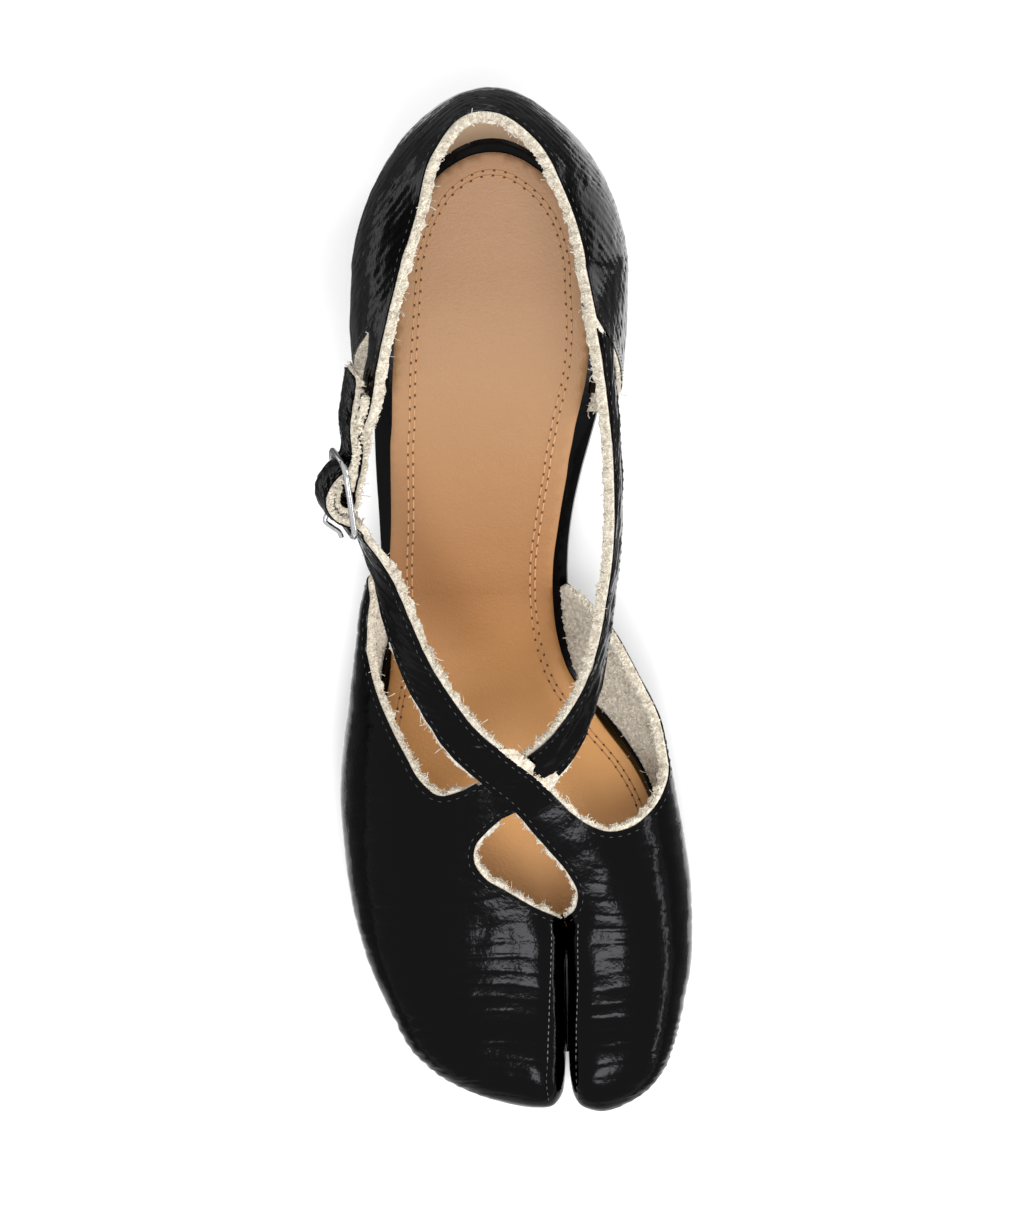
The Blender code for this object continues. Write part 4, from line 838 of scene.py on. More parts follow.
def innerPanel():
    fan = toeFan(bigToe, outer=False)
    strap = strapOn(fan, strapOver, bucklePass, passStretch, -1)
    half, end = strapWidth / 2, strap.run[-1]
    keyhole, topline = fan.flatFromPlan(keyholeInner), fan.flatFromPlan(innerTopline)
    wing = np.array([fan.flatAt(y, 1, g) for y, g in innerWing[::-1]] + [topline[0]])
    seam = np.array([keyhole[0], fan.flatAt(splitEndY, -1, 0.5), fan.flatAt(splitEndY, -1, 1.0)])
    stretches = [fan.rim(1.0, splitEndY, innerWing[-1][0], 1.0), wing, topline,
                 np.array([topline[-1], strap.flat(toplineGap, half)]),
                 strapEdge(strap, half, toplineGap, end - tipRadius), tipOf(strap, end, tipRadius),
                 strapEdge(strap, -half, end - tipRadius, keyholeGap),
                 np.array([strap.flat(keyholeGap, -half), keyhole[-1]]), keyhole[::-1], seam]

    def wallAt(flat):
        station, away = fan.locate(flat)[:2]
        toSplit = 1 - ramp(station, 0.1 * capRun, 0.28 * capRun)
        run, across = strap.coordinates(flat)
        thin = ramp(run, strap.bendRun - 12, strap.bendRun - 2) * (np.abs(across) < strapWidth)
        return (cloth["wall"] + thinnedBy(fan, flat, station, away, toSplit)
                + (cloth["tailWall"] - cloth["wall"]) * thin)

    return {"name": "vampInner", "side": -1, "fan": fan, "strap": strap, "stretches": stretches,
            "wall": wallAt}


def counterPanel():
    fan = heelFan()
    start = fan.along(fan.start, np.array([-11.0]))[0]
    half = strapWidth / 2
    rootY = strapRear["y"][0]
    strap = Strap(strapRear, buckleLoop, loopStretch, (heelAxisX - start - half, rootY), (0, -1), 1)
    end = strap.run[-1]
    outerFront = [fan.flatAt(y, -1, g) for y, g in counterOuterFront]
    innerFront = [fan.flatAt(y, 1, g) for y, g in counterInnerFront]
    collar = np.concatenate([[strap.flat(0, half)], fan.rim(0.0, rootY + 2, counterInnerFront[0][0], 1.0)])
    stretches = [collar, np.array(innerFront),
                 fan.rim(1.0, counterOuterFront[-1][0], counterInnerFront[-1][0], 1.0)[::-1],
                 np.array([strap.flat(toplineGap, -half)] + outerFront)[::-1],
                 strapEdge(strap, -half, toplineGap, end), (strap.flat(end, -half), strap.flat(end, half)),
                 strapEdge(strap, half, end, 0)]

    def wallAt(flat):
        run, across = strap.coordinates(flat)
        thin = ramp(run, strap.bendRun - 6, strap.bendRun + 8 * loopStretch) * (np.abs(across) < strapWidth)
        return cloth["wall"] + (cloth["loopWall"] - cloth["wall"]) * thin

    return {"name": "counter", "fan": fan, "strap": strap, "stretches": stretches, "wall": wallAt}


# the cloth: a thin ribbed film outside, fuzzy pile behind it
clothMake = {
    "film": 0.38, "ribPitch": 3.5, "ribPower": 9.0,
    "heelRibPitch": 2.7, "heelRibs": 0.34, "heelRibTurn": math.radians(58),
    "filmPitch": 2.1, "filmFiner": 3.6, "counterPitch": 0.95, "pilePitch": 1.35, "outlinePitch": 0.8,
    "frayOut": 0.7, "sink": 0.4, "stitchIn": 1.25, "stitchLift": 0.04, "behindFilm": 0.02,
    "edgeClear": 0.45, "insideClear": 0.15, "rimInset": (0.05, 0.2), "longestStitch": 3,
    "cleftX": 11.4, "cleftY": -76, "cleftRow": 3.6,      # middle and end of the split, and its seam beside it
    "rawFrom": -75.4, "footFrom": 0.955,                 # no cut edge ahead of the one or below the other
    "sewnDown": ((-12.0, 0.5, -52.0, -41.5), (3.2, 7.4, -50.0, -46.0)),
    "crossing": (-3.5, 10.5, -44.8, -34.0), "tuftReach": 2.3, "tuftTaper": 4.5,
    "tuftLift": 0.15, "tuftFall": 0.2,
    "pleats": {"vampOuter": (-0.1, 0.05, 0.3, 0.5), "vampInner": (0.45, 0.6, 1.0, 1.15)},
    "pleatPitch": 3.4, "pleatDepth": 0.36}
wanders = {                     # height, size and seed of each unevenness
    "drift": (1.1, 34, 3), "strength": (0.3, 22, 5), "overall": (0.05, 7, 8), "creases": (0.09, 1.9, 11),
    "longCreases": (0.07, 4, 12), "gather": (0.42, 2.4, 17), "fray": (0.42, 2.4, 21), "pile": (0.2, 2.6, 31),
    "fold": (0.35, 3, 41)}


def wander(kind, x, y, share=1):
    height, size, seed = wanders[kind]
    return height * share * waves(x, y, size, seed)


def ribbed(along, pitch, height):
    # Broad flat ribs with narrow grooves; 0 on the crowns.
    t = np.abs(2 * (along / pitch - np.floor(along / pitch)) - 1)
    return -height * (0.06 * t ** 2 + 0.94 * t ** clothMake["ribPower"])


def reliefOf(panel, flat, loop):
    # How far the film lies below its smooth surface.
    run, across = panel["strap"].coordinates(flat)
    onStrap = ramp(run, 2, strapBlend) * onBand(across)
    inward = nearEdge(flat, loop)
    hem = 0.25 * ramp(inward, 0.4, 1.6) + 0.75 * ramp(inward, 1.5, 4.5)
    drift = wander("drift", *flat.T)
    strength = 0.7 + wander("strength", *flat.T)
    if panel["name"] == "counter":
        turn = clothMake["heelRibTurn"]
        side = np.sign(flat[:, 0] - heelAxisX)
        along = (flat[:, 0] - heelAxisX) * math.cos(turn) + side * flat[:, 1] * math.sin(turn)
        ribs = ribbed(along + drift, clothMake["heelRibPitch"], clothMake["heelRibs"])
    else:
        toCleft = panel["side"] * (clothMake["cleftX"] - flat[:, 0])
        hem = hem * (0.1 + 0.9 * ramp(toCleft, 4.4, 6.6))
        seamDip = 0.5 * np.exp(-((toCleft - clothMake["cleftRow"]) / 0.45) ** 2)
        hem = hem + seamDip * (flat[:, 1] < clothMake["cleftY"])
        ribs = ribbed(flat[:, 1] + drift, clothMake["ribPitch"], looks["film"]["ribHeight"])
    pleats = 0.0
    if panel["name"] in clothMake["pleats"]:     # gathered round the corner of the toe, just above the sole
        station, away = panel["fan"].locate(flat)[:2]
        a, b, c, d = (share * capRun for share in clothMake["pleats"][panel["name"]])
        held = (ramp(station, a, b) - ramp(station, c, d)) * ramp(panel["fan"].down(station, away), 0.3, 0.6)
        wave = np.sin(math.pi * (station + drift) / clothMake["pleatPitch"]) ** 2
        pleats = -clothMake["pleatDepth"] * held * ramp(inward, 1.0, 3.0) * wave
    creased = wander("creases", run / 6, across) + wander("longCreases", run, across * 1.5)
    if panel["name"] == "vampOuter":
        gathered = ramp(run, 2, 10) * (1 - ramp(run, 34, 60))
        creased = creased + wander("gather", run / 12, across, gathered)
    return (ribs * strength * hem * (1 - onStrap) + pleats * strength + creased * onStrap
            + wander("overall", *flat.T))


def isRaw(panel, flat):
    # Whether a point of the outline is on a cut edge, not at the sole or in the split.
    station, away = panel["fan"].locate(flat)[:2]
    down = panel["fan"].down(station, away)
    run, across = panel["strap"].coordinates(flat)
    onStrap = (run > 1) & onBand(across)
    behindSplit = (panel["name"] == "counter") | (flat[:, 1] > clothMake["rawFrom"])
    return onStrap | ((down < clothMake["footFrom"]) & behindSplit)


def surfaceNormals(place, flat):
    dx, dy = np.array([0.05, 0.0]), np.array([0.0, 0.05])
    return unit(np.cross(place(flat + dx) - place(flat - dx), place(flat + dy) - place(flat - dy)) + 1e-12)


def onSurface(panel, flat, lift=0.0):
    # Flat points put on the film, as far out as its ribs and creases leave it.
    place = panel["place"]
    return place(flat) + surfaceNormals(place, flat) * (reliefOf(panel, flat, panel["loop"]) + lift)[:, None]


def inZone(points, *zones):
    # Which points lie in one of the zones, each given as left, right, front and back.
    x, y = points[:, 0], points[:, 1]
    return np.any([(x > left) & (x < right) & (y > front) & (y < back)
                   for left, right, front, back in zones], axis=0)


def clothPieces(panel):
    # The film, the pile behind it, the raw rim, the inner face and the seam line of one panel.
    name, place = panel["name"], blended(panel["fan"], panel["strap"])
    loop = loopOf(*panel["stretches"], pitch=clothMake["outlinePitch"])
    panel["place"], panel["loop"] = place, loop
    isCounter = name == "counter"
    finer = 1.0 if isCounter else clothMake["filmFiner"]        # ribs across, so finer that way
    pitch = clothMake["counterPitch" if isCounter else "filmPitch"]
    flat, faces = triangulate(loop * (1, finer), pitch, clothMake["edgeClear"])
    flat = flat / (1, finer)
    points = place(flat)
    square = normalsOf(points, faces)
    relief = reliefOf(panel, flat, loop)
    shell = thicken(points, faces, square, relief, relief - clothMake["film"])
    skin = makeObject(name + "Film", *shell, film)
    skin.data.set_sharp_from_angle(angle=math.radians(75))      # its cut edges only

    arc = np.arange(len(loop)) * clothMake["outlinePitch"]
    rough = clothMake["frayOut"] + wander("fray", arc, arc * 0)
    rough = rough * ~inZone(place(loop), *clothMake["sewnDown"])
    wide = grown(loop, isRaw(panel, loop) * rough)
    flat, faces = triangulate(wide, clothMake["pilePitch"], clothMake["edgeClear"])
    points = place(flat)
    square = normalsOf(points, faces)
    toInner = clothMake["insideClear"] - panel["wall"](flat)
    fuzz = wander("pile", *flat.T)
    sunk = clothMake["sink"] * ramp(nearEdge(flat, loop), 1.0, 3.0)
    toOuter = -clothMake["film"] - clothMake["behindFilm"] - sunk
    body = thicken(points, faces, square, toOuter, toInner + fuzz, steps=3)
    backing = makeObject(name + "Pile", *body, pile)

    border = borderOf(faces)
    middle = flat[border].mean(axis=1)
    border = border[isRaw(panel, middle) & ~inZone(place(middle), *clothMake["sewnDown"])]
    high = points + square * (toOuter - clothMake["rimInset"][0])[:, None]
    low = points + square * (toInner + clothMake["rimInset"][1])[:, None]
    quads = [(b, a, a + len(flat), b + len(flat)) for a, b in border]
    rim = makeObject(name + "Rim", np.concatenate([high, low]), quads)

    line = grown(loop, np.full(len(loop), -clothMake["stitchIn"]))
    keep = isRaw(panel, line) & isRaw(panel, loop)
    onLine = onSurface(panel, line, clothMake["stitchLift"])
    pairs = [(k, (k + 1) % len(line)) for k in range(len(line))]
    edges = [(a, b) for a, b in pairs
             if keep[a] and keep[b] and np.linalg.norm(onLine[a] - onLine[b]) < clothMake["longestStitch"]]
    seam = lineObject(name + "Seam", onLine, edges)
    lining = makeObject(name + "Lining", points + square * (toInner + fuzz)[:, None], faces[:, ::-1])
    return skin, backing, rim, lining, seam


# repeats, as node trees
class Tree:
    # A geometry node tree with named inputs; `add` makes a node, wires its inputs and returns it.
    def __init__(self, name, **inputs):
        self.tree = bpy.data.node_groups.new(name, "GeometryNodeTree")
        self.tree.interface.new_socket("Geometry", in_out="INPUT", socket_type="NodeSocketGeometry")
        for label, (kind, value) in inputs.items():
            item = self.tree.interface.new_socket(label, in_out="INPUT", socket_type="NodeSocket" + kind)
            item.default_value = value
        self.tree.interface.new_socket("Geometry", in_out="OUTPUT", socket_type="NodeSocketGeometry")
        self.source = self.tree.nodes.new("NodeGroupInput")
        self.sink = self.tree.nodes.new("NodeGroupOutput")

    def given(self, label):
        return self.source.outputs[label]

    def add(self, kind, inputs=(), **settings):
        node = self.tree.nodes.new(kind)
        for key, value in settings.items():
            setattr(node, key, value)
        for key, value in dict(inputs).items():
            socket = node.inputs[key]
            if isinstance(value, bpy.types.NodeSocket):
                self.tree.links.new(value, socket)
            else:
                socket.default_value = value
        return node

    def scatter(self):
        return self.add("GeometryNodeDistributePointsOnFaces", {
            "Mesh": self.given("Geometry"), "Density": self.given("Density"), "Seed": self.given("Seed")})

    def chance(self, kind, inputs):
        inputs = {"Seed": self.given("Seed"), **inputs}
        return self.add("FunctionNodeRandomValue", inputs, data_type=kind)

    def close(self, points, instance, rotation, scale):
        # Ends the tree: an instance on every point, made real and given the material.
        put = self.add("GeometryNodeInstanceOnPoints", {
            "Points": points.outputs[0], "Instance": instance.outputs[0],
            "Rotation": rotation.outputs[0], "Scale": scale.outputs[0]})
        real = self.add("GeometryNodeRealizeInstances", {"Geometry": put.outputs[0]})
        done = self.add("GeometryNodeSetMaterial", {
            "Geometry": real.outputs[0], "Material": self.given("Material")})
        self.tree.links.new(done.outputs[0], self.sink.inputs[0])
        return self.tree


def grow(obj, tree, **values):
    # Runs a tree on an object and keeps the result as plain mesh.
    step = obj.modifiers.new("repeat", "NODES")
    step.node_group = tree
    for item in tree.interface.items_tree:
        if item.in_out == "INPUT" and item.name in values:
            step[item.identifier] = values[item.name]
    settle(obj).data.shade_smooth()


def stitchTree():
    # Beads of thread, one per pitch along every line.
    t = Tree("stitches", Pitch=("Float", 0.002), Length=("Float", 0.001), Radius=("Float", 0.0002),
             Material=("Material", None))
    path = t.add("GeometryNodeMeshToCurve", {"Mesh": t.given("Geometry")})
    steps = t.add("GeometryNodeResampleCurve", {"Curve": path.outputs[0], "Length": t.given("Pitch")},
                  mode="LENGTH")
    bead = t.add("GeometryNodeMeshUVSphere", {"Segments": 7, "Rings": 5, "Radius": 1.0})
    tangent = t.add("GeometryNodeInputTangent")
    lay = t.add("FunctionNodeAlignRotationToVector", {"Vector": tangent.outputs[0]}, axis="Z")
    size = t.add("ShaderNodeCombineXYZ", {
        "X": t.given("Radius"), "Y": t.given("Radius"), "Z": t.given("Length")})
    return t.close(steps, bead, lay, size)


def strandTree():
    # Bent hairs that stand on the faces, each leaning its own way.
    t = Tree("strands", Density=("Float", 2e6), Seed=("Int", 1), Length=("Float", 0.001),
             Radius=("Float", 0.1), Tilt=("Float", 0.7), Material=("Material", None))
    spread = t.scatter()
    bend = t.add("GeometryNodeCurveQuadraticBezier", {
        "Resolution": 3, "Start": (0, 0, -0.15), "Middle": (0, 0, 0.6), "End": (0.55, 0, 0.95)})
    ring = t.add("GeometryNodeCurvePrimitiveCircle", {"Resolution": 3, "Radius": t.given("Radius")})
    strand = t.add("GeometryNodeCurveToMesh", {"Curve": bend.outputs[0], "Profile Curve": ring.outputs[0],
                                               "Fill Caps": True})
    down = t.add("ShaderNodeMath", {0: t.given("Tilt"), 1: -1.0}, operation="MULTIPLY")
    low = t.add("ShaderNodeCombineXYZ", {"X": down.outputs[0], "Y": down.outputs[0], "Z": 0.0})
    high = t.add("ShaderNodeCombineXYZ", {"X": t.given("Tilt"), "Y": t.given("Tilt"), "Z": 6.283})
    turn = t.chance("FLOAT_VECTOR", {0: low.outputs[0], 1: high.outputs[0]})
    lean = t.add("FunctionNodeEulerToRotation", {0: turn.outputs[0]})
    lay = t.add("FunctionNodeRotateRotation", {0: spread.outputs["Rotation"], 1: lean.outputs[0]},
                rotation_space="LOCAL")
    vary = t.chance("FLOAT", {2: 0.45, 3: 1.3})
    size = t.add("ShaderNodeMath", {0: vary.outputs[1], 1: t.given("Length")}, operation="MULTIPLY")
    return t.close(spread, strand, lay, size)


def clumpTree():
    # Small uneven knots of pile on the faces.
    t = Tree("clumps", Density=("Float", 1e6), Seed=("Int", 1), Size=("Float", 0.0003),
             Material=("Material", None))
    knot = t.add("GeometryNodeMeshIcoSphere", {"Radius": 1.0, "Subdivisions": 1})
    turn = t.chance("FLOAT_VECTOR", {0: (0, 0, 0), 1: (6.28, 6.28, 6.28)})
    lay = t.add("FunctionNodeEulerToRotation", {0: turn.outputs[0]})
    vary = t.chance("FLOAT_VECTOR", {0: (0.5, 0.5, 0.5), 1: (1.5, 1.1, 0.9)})
    size = t.add("ShaderNodeVectorMath", {0: vary.outputs[0], "Scale": t.given("Size")}, operation="SCALE")
    return t.close(t.scatter(), knot, lay, size)


stitches, strands, clumps = stitchTree(), strandTree(), clumpTree()
# what the trees are given, in metres and per square metre; a strand's radius is a share of its length
fray = {
    "Rim": {"Density": 2.6e6, "Size": 0.00031},
    "Wisps": {"Density": 1.1e6, "Length": 0.0008, "Radius": 0.13, "Tilt": 0.9, "Seed": 2},
    "Stray": {"Density": 0.05e6, "Length": 0.0019, "Radius": 0.0455, "Tilt": 1.0, "Seed": 4},
    "Lining": {"Density": 0.7e6, "Size": 0.0004, "Seed": 6},
    "Fleece": {"Density": 0.12e6, "Length": 0.0017, "Radius": 0.06, "Tilt": 1.35, "Seed": 8},
    "foldRim": {"Density": 3.64e6, "Size": 0.00031, "Seed": 9},
    "foldFace": {"Density": 1.3e6, "Size": 0.00031, "Seed": 10},
    "crossingTufts": {"Density": 5.2e6, "Size": 0.00031, "Seed": 11},
    "crossingWisps": {"Density": 1.1e6, "Length": 0.00064, "Radius": 0.13, "Tilt": 0.9, "Seed": 12}}
seamMake = {
    "edge": {"Pitch": 0.0022, "Length": 0.00048, "Radius": 0.00009},
    "cleft": {"Pitch": 0.0015, "Length": 0.00046, "Radius": 0.00011},
    "fold": {"Pitch": 0.003, "Length": 0.0006, "Radius": 0.0002}}


def ridesOn(piece, slot, *nodes):
    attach(piece, "root")
    if nodes:
        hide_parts(*nodes)
    return piece


panels = (outerPanel(), innerPanel(), counterPanel())
for panel in panels:
    name = panel["name"]
    skin, backing, rim, lining, seam = clothPieces(panel)
    wisps, stray, fleece = (copied(source, name + tag) for source, tag in
                            ((rim, "Wisps"), (rim, "Stray"), (lining, "Fleece")))
    grow(rim, clumps, **fray["Rim"], Material=strandCloth)
    grow(wisps, strands, **fray["Wisps"], Material=strandCloth)
    grow(stray, strands, **fray["Stray"], Material=strandCloth)
    grow(lining, clumps, **fray["Lining"], Material=pile)
    grow(fleece, strands, **fray["Fleece"], Material=pile)
    grow(seam, stitches, **seamMake["edge"], Material=dimThread)
    for piece in (skin, backing, rim, wisps, stray, lining, fleece, seam):
        ridesOn(piece, "ribbed_cloth", "upper")
    print("cloth:", name, len(skin.data.polygons), len(lining.data.polygons), len(fleece.data.polygons))


# the upper strap's cut edge, carried on over the lower one
crossed = panels[1]
place, loop = crossed["place"], crossed["loop"]
keep = inZone(place(loop), clothMake["crossing"]) & isRaw(crossed, loop)
fromEnd = np.minimum(np.cumsum(keep), np.cumsum(keep[::-1])[::-1]) * clothMake["outlinePitch"]
tuftReach = clothMake["tuftReach"] * ramp(fromEnd, 0, clothMake["tuftTaper"])
normal = surfaceNormals(place, loop)
bands = [place(grown(loop, share * tuftReach))
         + normal * (clothMake["tuftLift"] - clothMake["tuftFall"] * share) for share in (0.0, 0.5, 1.0)]
count = len(keep)
quads = [f for f in gridFaces(3, count, around=True) if keep[f[0] % count] and keep[f[1] % count]]
tufts = makeObject("crossingTufts", np.concatenate(bands), quads)
hairs, ground = copied(tufts, "crossingWisps"), copied(tufts, "crossingEdge")
ground.data.materials.append(strandCloth)
grow(tufts, clumps, **fray["crossingTufts"], Material=strandCloth)
grow(hairs, strands, **fray["crossingWisps"], Material=strandCloth)
for piece in (ground, tufts, hairs):
    ridesOn(piece, "ribbed_cloth", "upper")
print("crossing strap")


# rows of stitches beside the split, their thread drawn darker round its end as painted shade where the toe
# turns down, and the welt that closes it underneath
cleft = {"outer": ((8.3, -76.6), (8.1, -86.0), (7.7, -97.0), (7.3, -108.0)),
         "inner": ((14.6, -76.6), (14.5, -86.0), (14.2, -97.0), (13.9, -108.0)),
         "outerEnd": ((7.3, -108.6), (7.0, -113.5), (7.4, -118.4)),
         "innerEnd": ((13.9, -108.6), (14.1, -114.0), (14.5, -119.4)),
         "fill": ((11.4, -75.2, 18.5), (11.5, -80.0, 16.0), (11.55, -92.0, 12.0), (11.6, -107.5, 7.0)),
         "fillRadius": (1.4, 0.8, 0.35)}
for panel, side, end in ((panels[0], "outer", ""), (panels[1], "inner", ""), (panels[0], "outer", "End"),
                         (panels[1], "inner", "End")):
    flat = curve(panel["fan"].flatFromPlan(cleft[side + end]), clothMake["outlinePitch"])
    row = lineObject(panel["name"] + "CleftRow" + end, onSurface(panel, flat, 0.05))
    # round the split's end the same row takes the darker thread: painted shade
    grow(row, stitches, **seamMake["cleft"], Material=dimThread if end else paleThread)
    ridesOn(row, "ribbed_cloth", "upper")
fillLine = curve([(x, y, layerHeight(y, layers["foot"]) + up) for x, y, up in cleft["fill"]], 1.5)
fillRadius = np.interp(np.linspace(0, 2, len(fillLine)), (0, 1, 2), cleft["fillRadius"])
ridesOn(tube("cleftWelt", fillLine, fillRadius, film), "ribbed_cloth", "upper")
print("split")


def wallBand(panel, station, fractions, clear, lean=0.0):
    # Rows of points just inside the wall, one per fraction down the sections, and the normals there.
    fan, grid, square = panel["fan"], [], []
    for fraction in fractions:
        flat = fan.flatAtStation(station, fraction)
        normal = surfaceNormals(fan.place, flat - fan.locate(flat)[2] * lean)
        grid.append(fan.place(flat) - normal * (panel["wall"](flat) + clear)[:, None])
        square.append(normal)
    return np.array(grid), np.array(square)


# a glossy strip lines the foot of the walls inside, its top edge rolled; the counter's runs right round
lined = {
    "clear": 0.2, "thick": 0.45, "roll": 0.42, "rollIn": 0.6, "taper": 9.0,
    "rise": {"vampOuter": 2.6, "vampInner": 4.4, "counter": 3.0},
    "reach": {"vampOuter": (-76, -6), "vampInner": (-78, -20), "counter": (-23.0, capRun + 26.0)}}
for panel in panels:
    fan, name = panel["fan"], panel["name"]
    station = np.arange(*lined["reach"][name], 1.0)
    toEnd = station - station[0]
    if name != "counter":
        past = fan.sense * (station - fan.endY)
        station = np.sort(past if name == "vampOuter" else capRun - past)
        toEnd = np.minimum(station - station[0], station[-1] - station)
    rise = lined["rise"][name] * (0.12 + 0.88 * ramp(toEnd, 0, lined["taper"]))
    down = rise / fan.along(fan.length, station)
    fractions = [1 - share * down for share in np.linspace(1, 0, 6)]
    grid, square = wallBand(panel, station, fractions, lined["clear"], lean=0.06)
    ridesOn(strip(name + "FootLining", grid, square, 0.0, -lined["thick"], film), "ribbed_cloth", "upper")
    rollLine = grid[0] - square[0] * lined["roll"] * lined["rollIn"]
    ridesOn(tube(name + "FootRoll", rollLine, lined["roll"], film), "ribbed_cloth", "upper")


# a dark bead closes the joint between the cloth and the board
bead = {"radius": 0.55, "proud": 0.12, "up": 0.2}
reaches = ((outerWing[-1][0], splitEndY), (splitEndY, innerWing[-1][0]),
           (counterOuterFront[-1][0], counterInnerFront[-1][0]))
for panel, (first, last) in zip(panels, reaches):
    flat = panel["fan"].rim(1.0, first, last, 1.0)
    outward = panel["fan"].locate(flat)[2]
    inward = -outward * (bead["radius"] - bead["proud"])
    line = panel["place"](flat) + np.column_stack([inward, np.full(len(flat), bead["up"])])
    ridesOn(tube(panel["name"] + "FootBead", line, bead["radius"], film, sides=8), "ribbed_cloth", "upper")


# smooth beige leather behind the heel, between the cut edge and the foot lining
grip = {"half": 24.0, "top": 2.7, "foot": 2.1, "clear": 0.5, "thick": 0.35}
station = capRun / 2 + np.arange(-grip["half"], grip["half"] + 0.5, 1.0)
length = panels[2]["fan"].along(panels[2]["fan"].length, station)
narrow = 1 - (np.abs(station - capRun / 2) / grip["half"]) ** 4
top, foot = grip["top"] / length, 1 - grip["foot"] / length
fractions = [foot + (top - foot) * (1 - share) * narrow for share in np.linspace(0, 1, 8)]
grid, square = wallBand(panels[2], station, fractions, grip["clear"])
ridesOn(strip("heelGrip", grid, square, 0.0, -grip["thick"], gripLeather), "ribbed_cloth", "upper")
print("linings and beads")


# the rear strap's end, folded back over the middle bar so that its pile faces out
fold = {"fromY": 45.5, "bends": 5, "clear": 0.2, "thick": 1.5, "pitch": 0.6, "columns": 11, "rowLift": 0.15}
strap, place = panels[2]["strap"], panels[2]["place"]
runs = np.arange(0, strap.run[-1], 0.25)
lastRun = strap.run[len(strapRear["x"]) + fold["bends"]]
runs = runs[(strap.line(runs)[:, 1] < fold["fromY"]) & (runs < lastRun)]
steps = chord(strap.line(runs))
runs = np.interp(np.arange(0, steps[-1], fold["pitch"]), steps, runs)
wide = np.linspace(-strapWidth / 2, strapWidth / 2, fold["columns"])
grid, square = [], []
for k, run in enumerate(runs):
    flat = strap.flat(0, 0) + run * strap.heading + wide[:, None] * strap.across
    flat = flat + (wander("fold", np.array([k * fold["pitch"]]), np.zeros(1))
                   * (wide / strapWidth * 2)[:, None] ** 3 * strap.across)
    grid.append(place(flat))
    square.append(surfaceNormals(place, flat))
grid, square = np.array(grid), np.array(square)
backing = strip("rearStrapFold", grid, square, fold["clear"] + fold["thick"], fold["clear"], pile, 3)
surface, under = grid + square * (fold["clear"] + fold["thick"]), grid + square * fold["clear"]
rimRows = [np.concatenate([layer[:, -1], layer[0, ::-1]]) for layer in (surface, under)]
rim = makeObject("rearStrapFoldRim", np.concatenate(rimRows), gridFaces(2, len(rimRows[0])))
grow(rim, clumps, **fray["foldRim"], Material=strandCloth)
face = makeObject("rearStrapFoldFace", surface.reshape(-1, 3), gridFaces(len(runs), fold["columns"]))
grow(face, clumps, **fray["foldFace"], Material=strandCloth)
row = lineObject("rearStrapFoldRow", surface[:, -2] + square[:, -2] * fold["rowLift"])
grow(row, stitches, **seamMake["fold"], Material=film)
for piece in (backing, rim, face, row):
    ridesOn(piece, "ribbed_cloth", "upper")
print("folded strap end")


# buckle
buckleMake = {"wire": 0.68, "bar": 0.6, "prong": 0.55, "tongue": (
    (-2.5, 0.5), (-3.3, 2.2), (-4.2, 4.4), (-5.4, 4.9), (-7.2, 3.6), (-9.0, 2.05), (-10.2, 1.75))}
halfLong, halfHigh, corner = buckle["length"] / 2, buckle["height"] / 2, buckle["corner"]
ring = []
for k, (a, b) in enumerate(((1, 1), (-1, 1), (-1, -1), (1, -1))):
    for turn in np.radians(90 * k + np.arange(0, 91, 10)):
        ring.append(atBuckle(a * (halfLong - corner) + corner * math.cos(turn),
                             b * (halfHigh - corner) + corner * math.sin(turn), 0))
bar = [atBuckle(0, b, 0) for b in np.linspace(-halfHigh, halfHigh, 9)]
eye = [(buckle["ring"] * math.cos(a), buckle["ring"] * math.sin(a))
       for a in np.radians(np.arange(116, -178, -21))]
prong = curve([atBuckle(a, 0, o) for a, o in (*eye, *buckleMake["tongue"])], 0.4)
ridesOn(tube("buckleFrameDressed", ring, buckleMake["wire"], chrome, closed=True, sides=14),
        "buckle_metal", "buckle_frame")
ridesOn(tube("buckleBarDressed", bar, buckleMake["bar"], chrome, sides=12), "buckle_metal", "buckle_frame")
ridesOn(tube("bucklePronged", prong, buckleMake["prong"], chrome, sides=12), "buckle_metal", "buckle_prong")
print("buckle")


# sole, sock and heel
def plate(name, loop, low, high, material, pitch=2.0, drop=0.0, bevel=0.0):
    # A closed layer over a plan loop; its top falls by `drop` at the edge.
    flat, faces = triangulate(loop, pitch)
    fall = drop * (1 - ramp(nearEdge(flat, loop), 0, 3.2))
    top = np.column_stack([flat, layerHeight(flat[:, 1], high) - fall])
    bottom = np.column_stack([flat, layerHeight(flat[:, 1], low)])
    n = len(flat)
    rim = [(b, a, a + n, b + n) for a, b in borderOf(faces)]
    obj = makeObject(name, np.concatenate([top, bottom]), bothSides(faces, n) + rim, material)
    return rounded(obj, bevel) if bevel else obj


# the heel's plan where it meets the seat, and how it narrows, curves and rounds from there
heel = {"tip": 5.0, "gap": 0.3, "middle": (-4.2, 80.0), "half": 23.8, "front": 22.5, "back": 23.4,
        "base": 0.95, "squared": 0.84, "waist": 0.012, "round": 0.6, "pitch": 4.0}


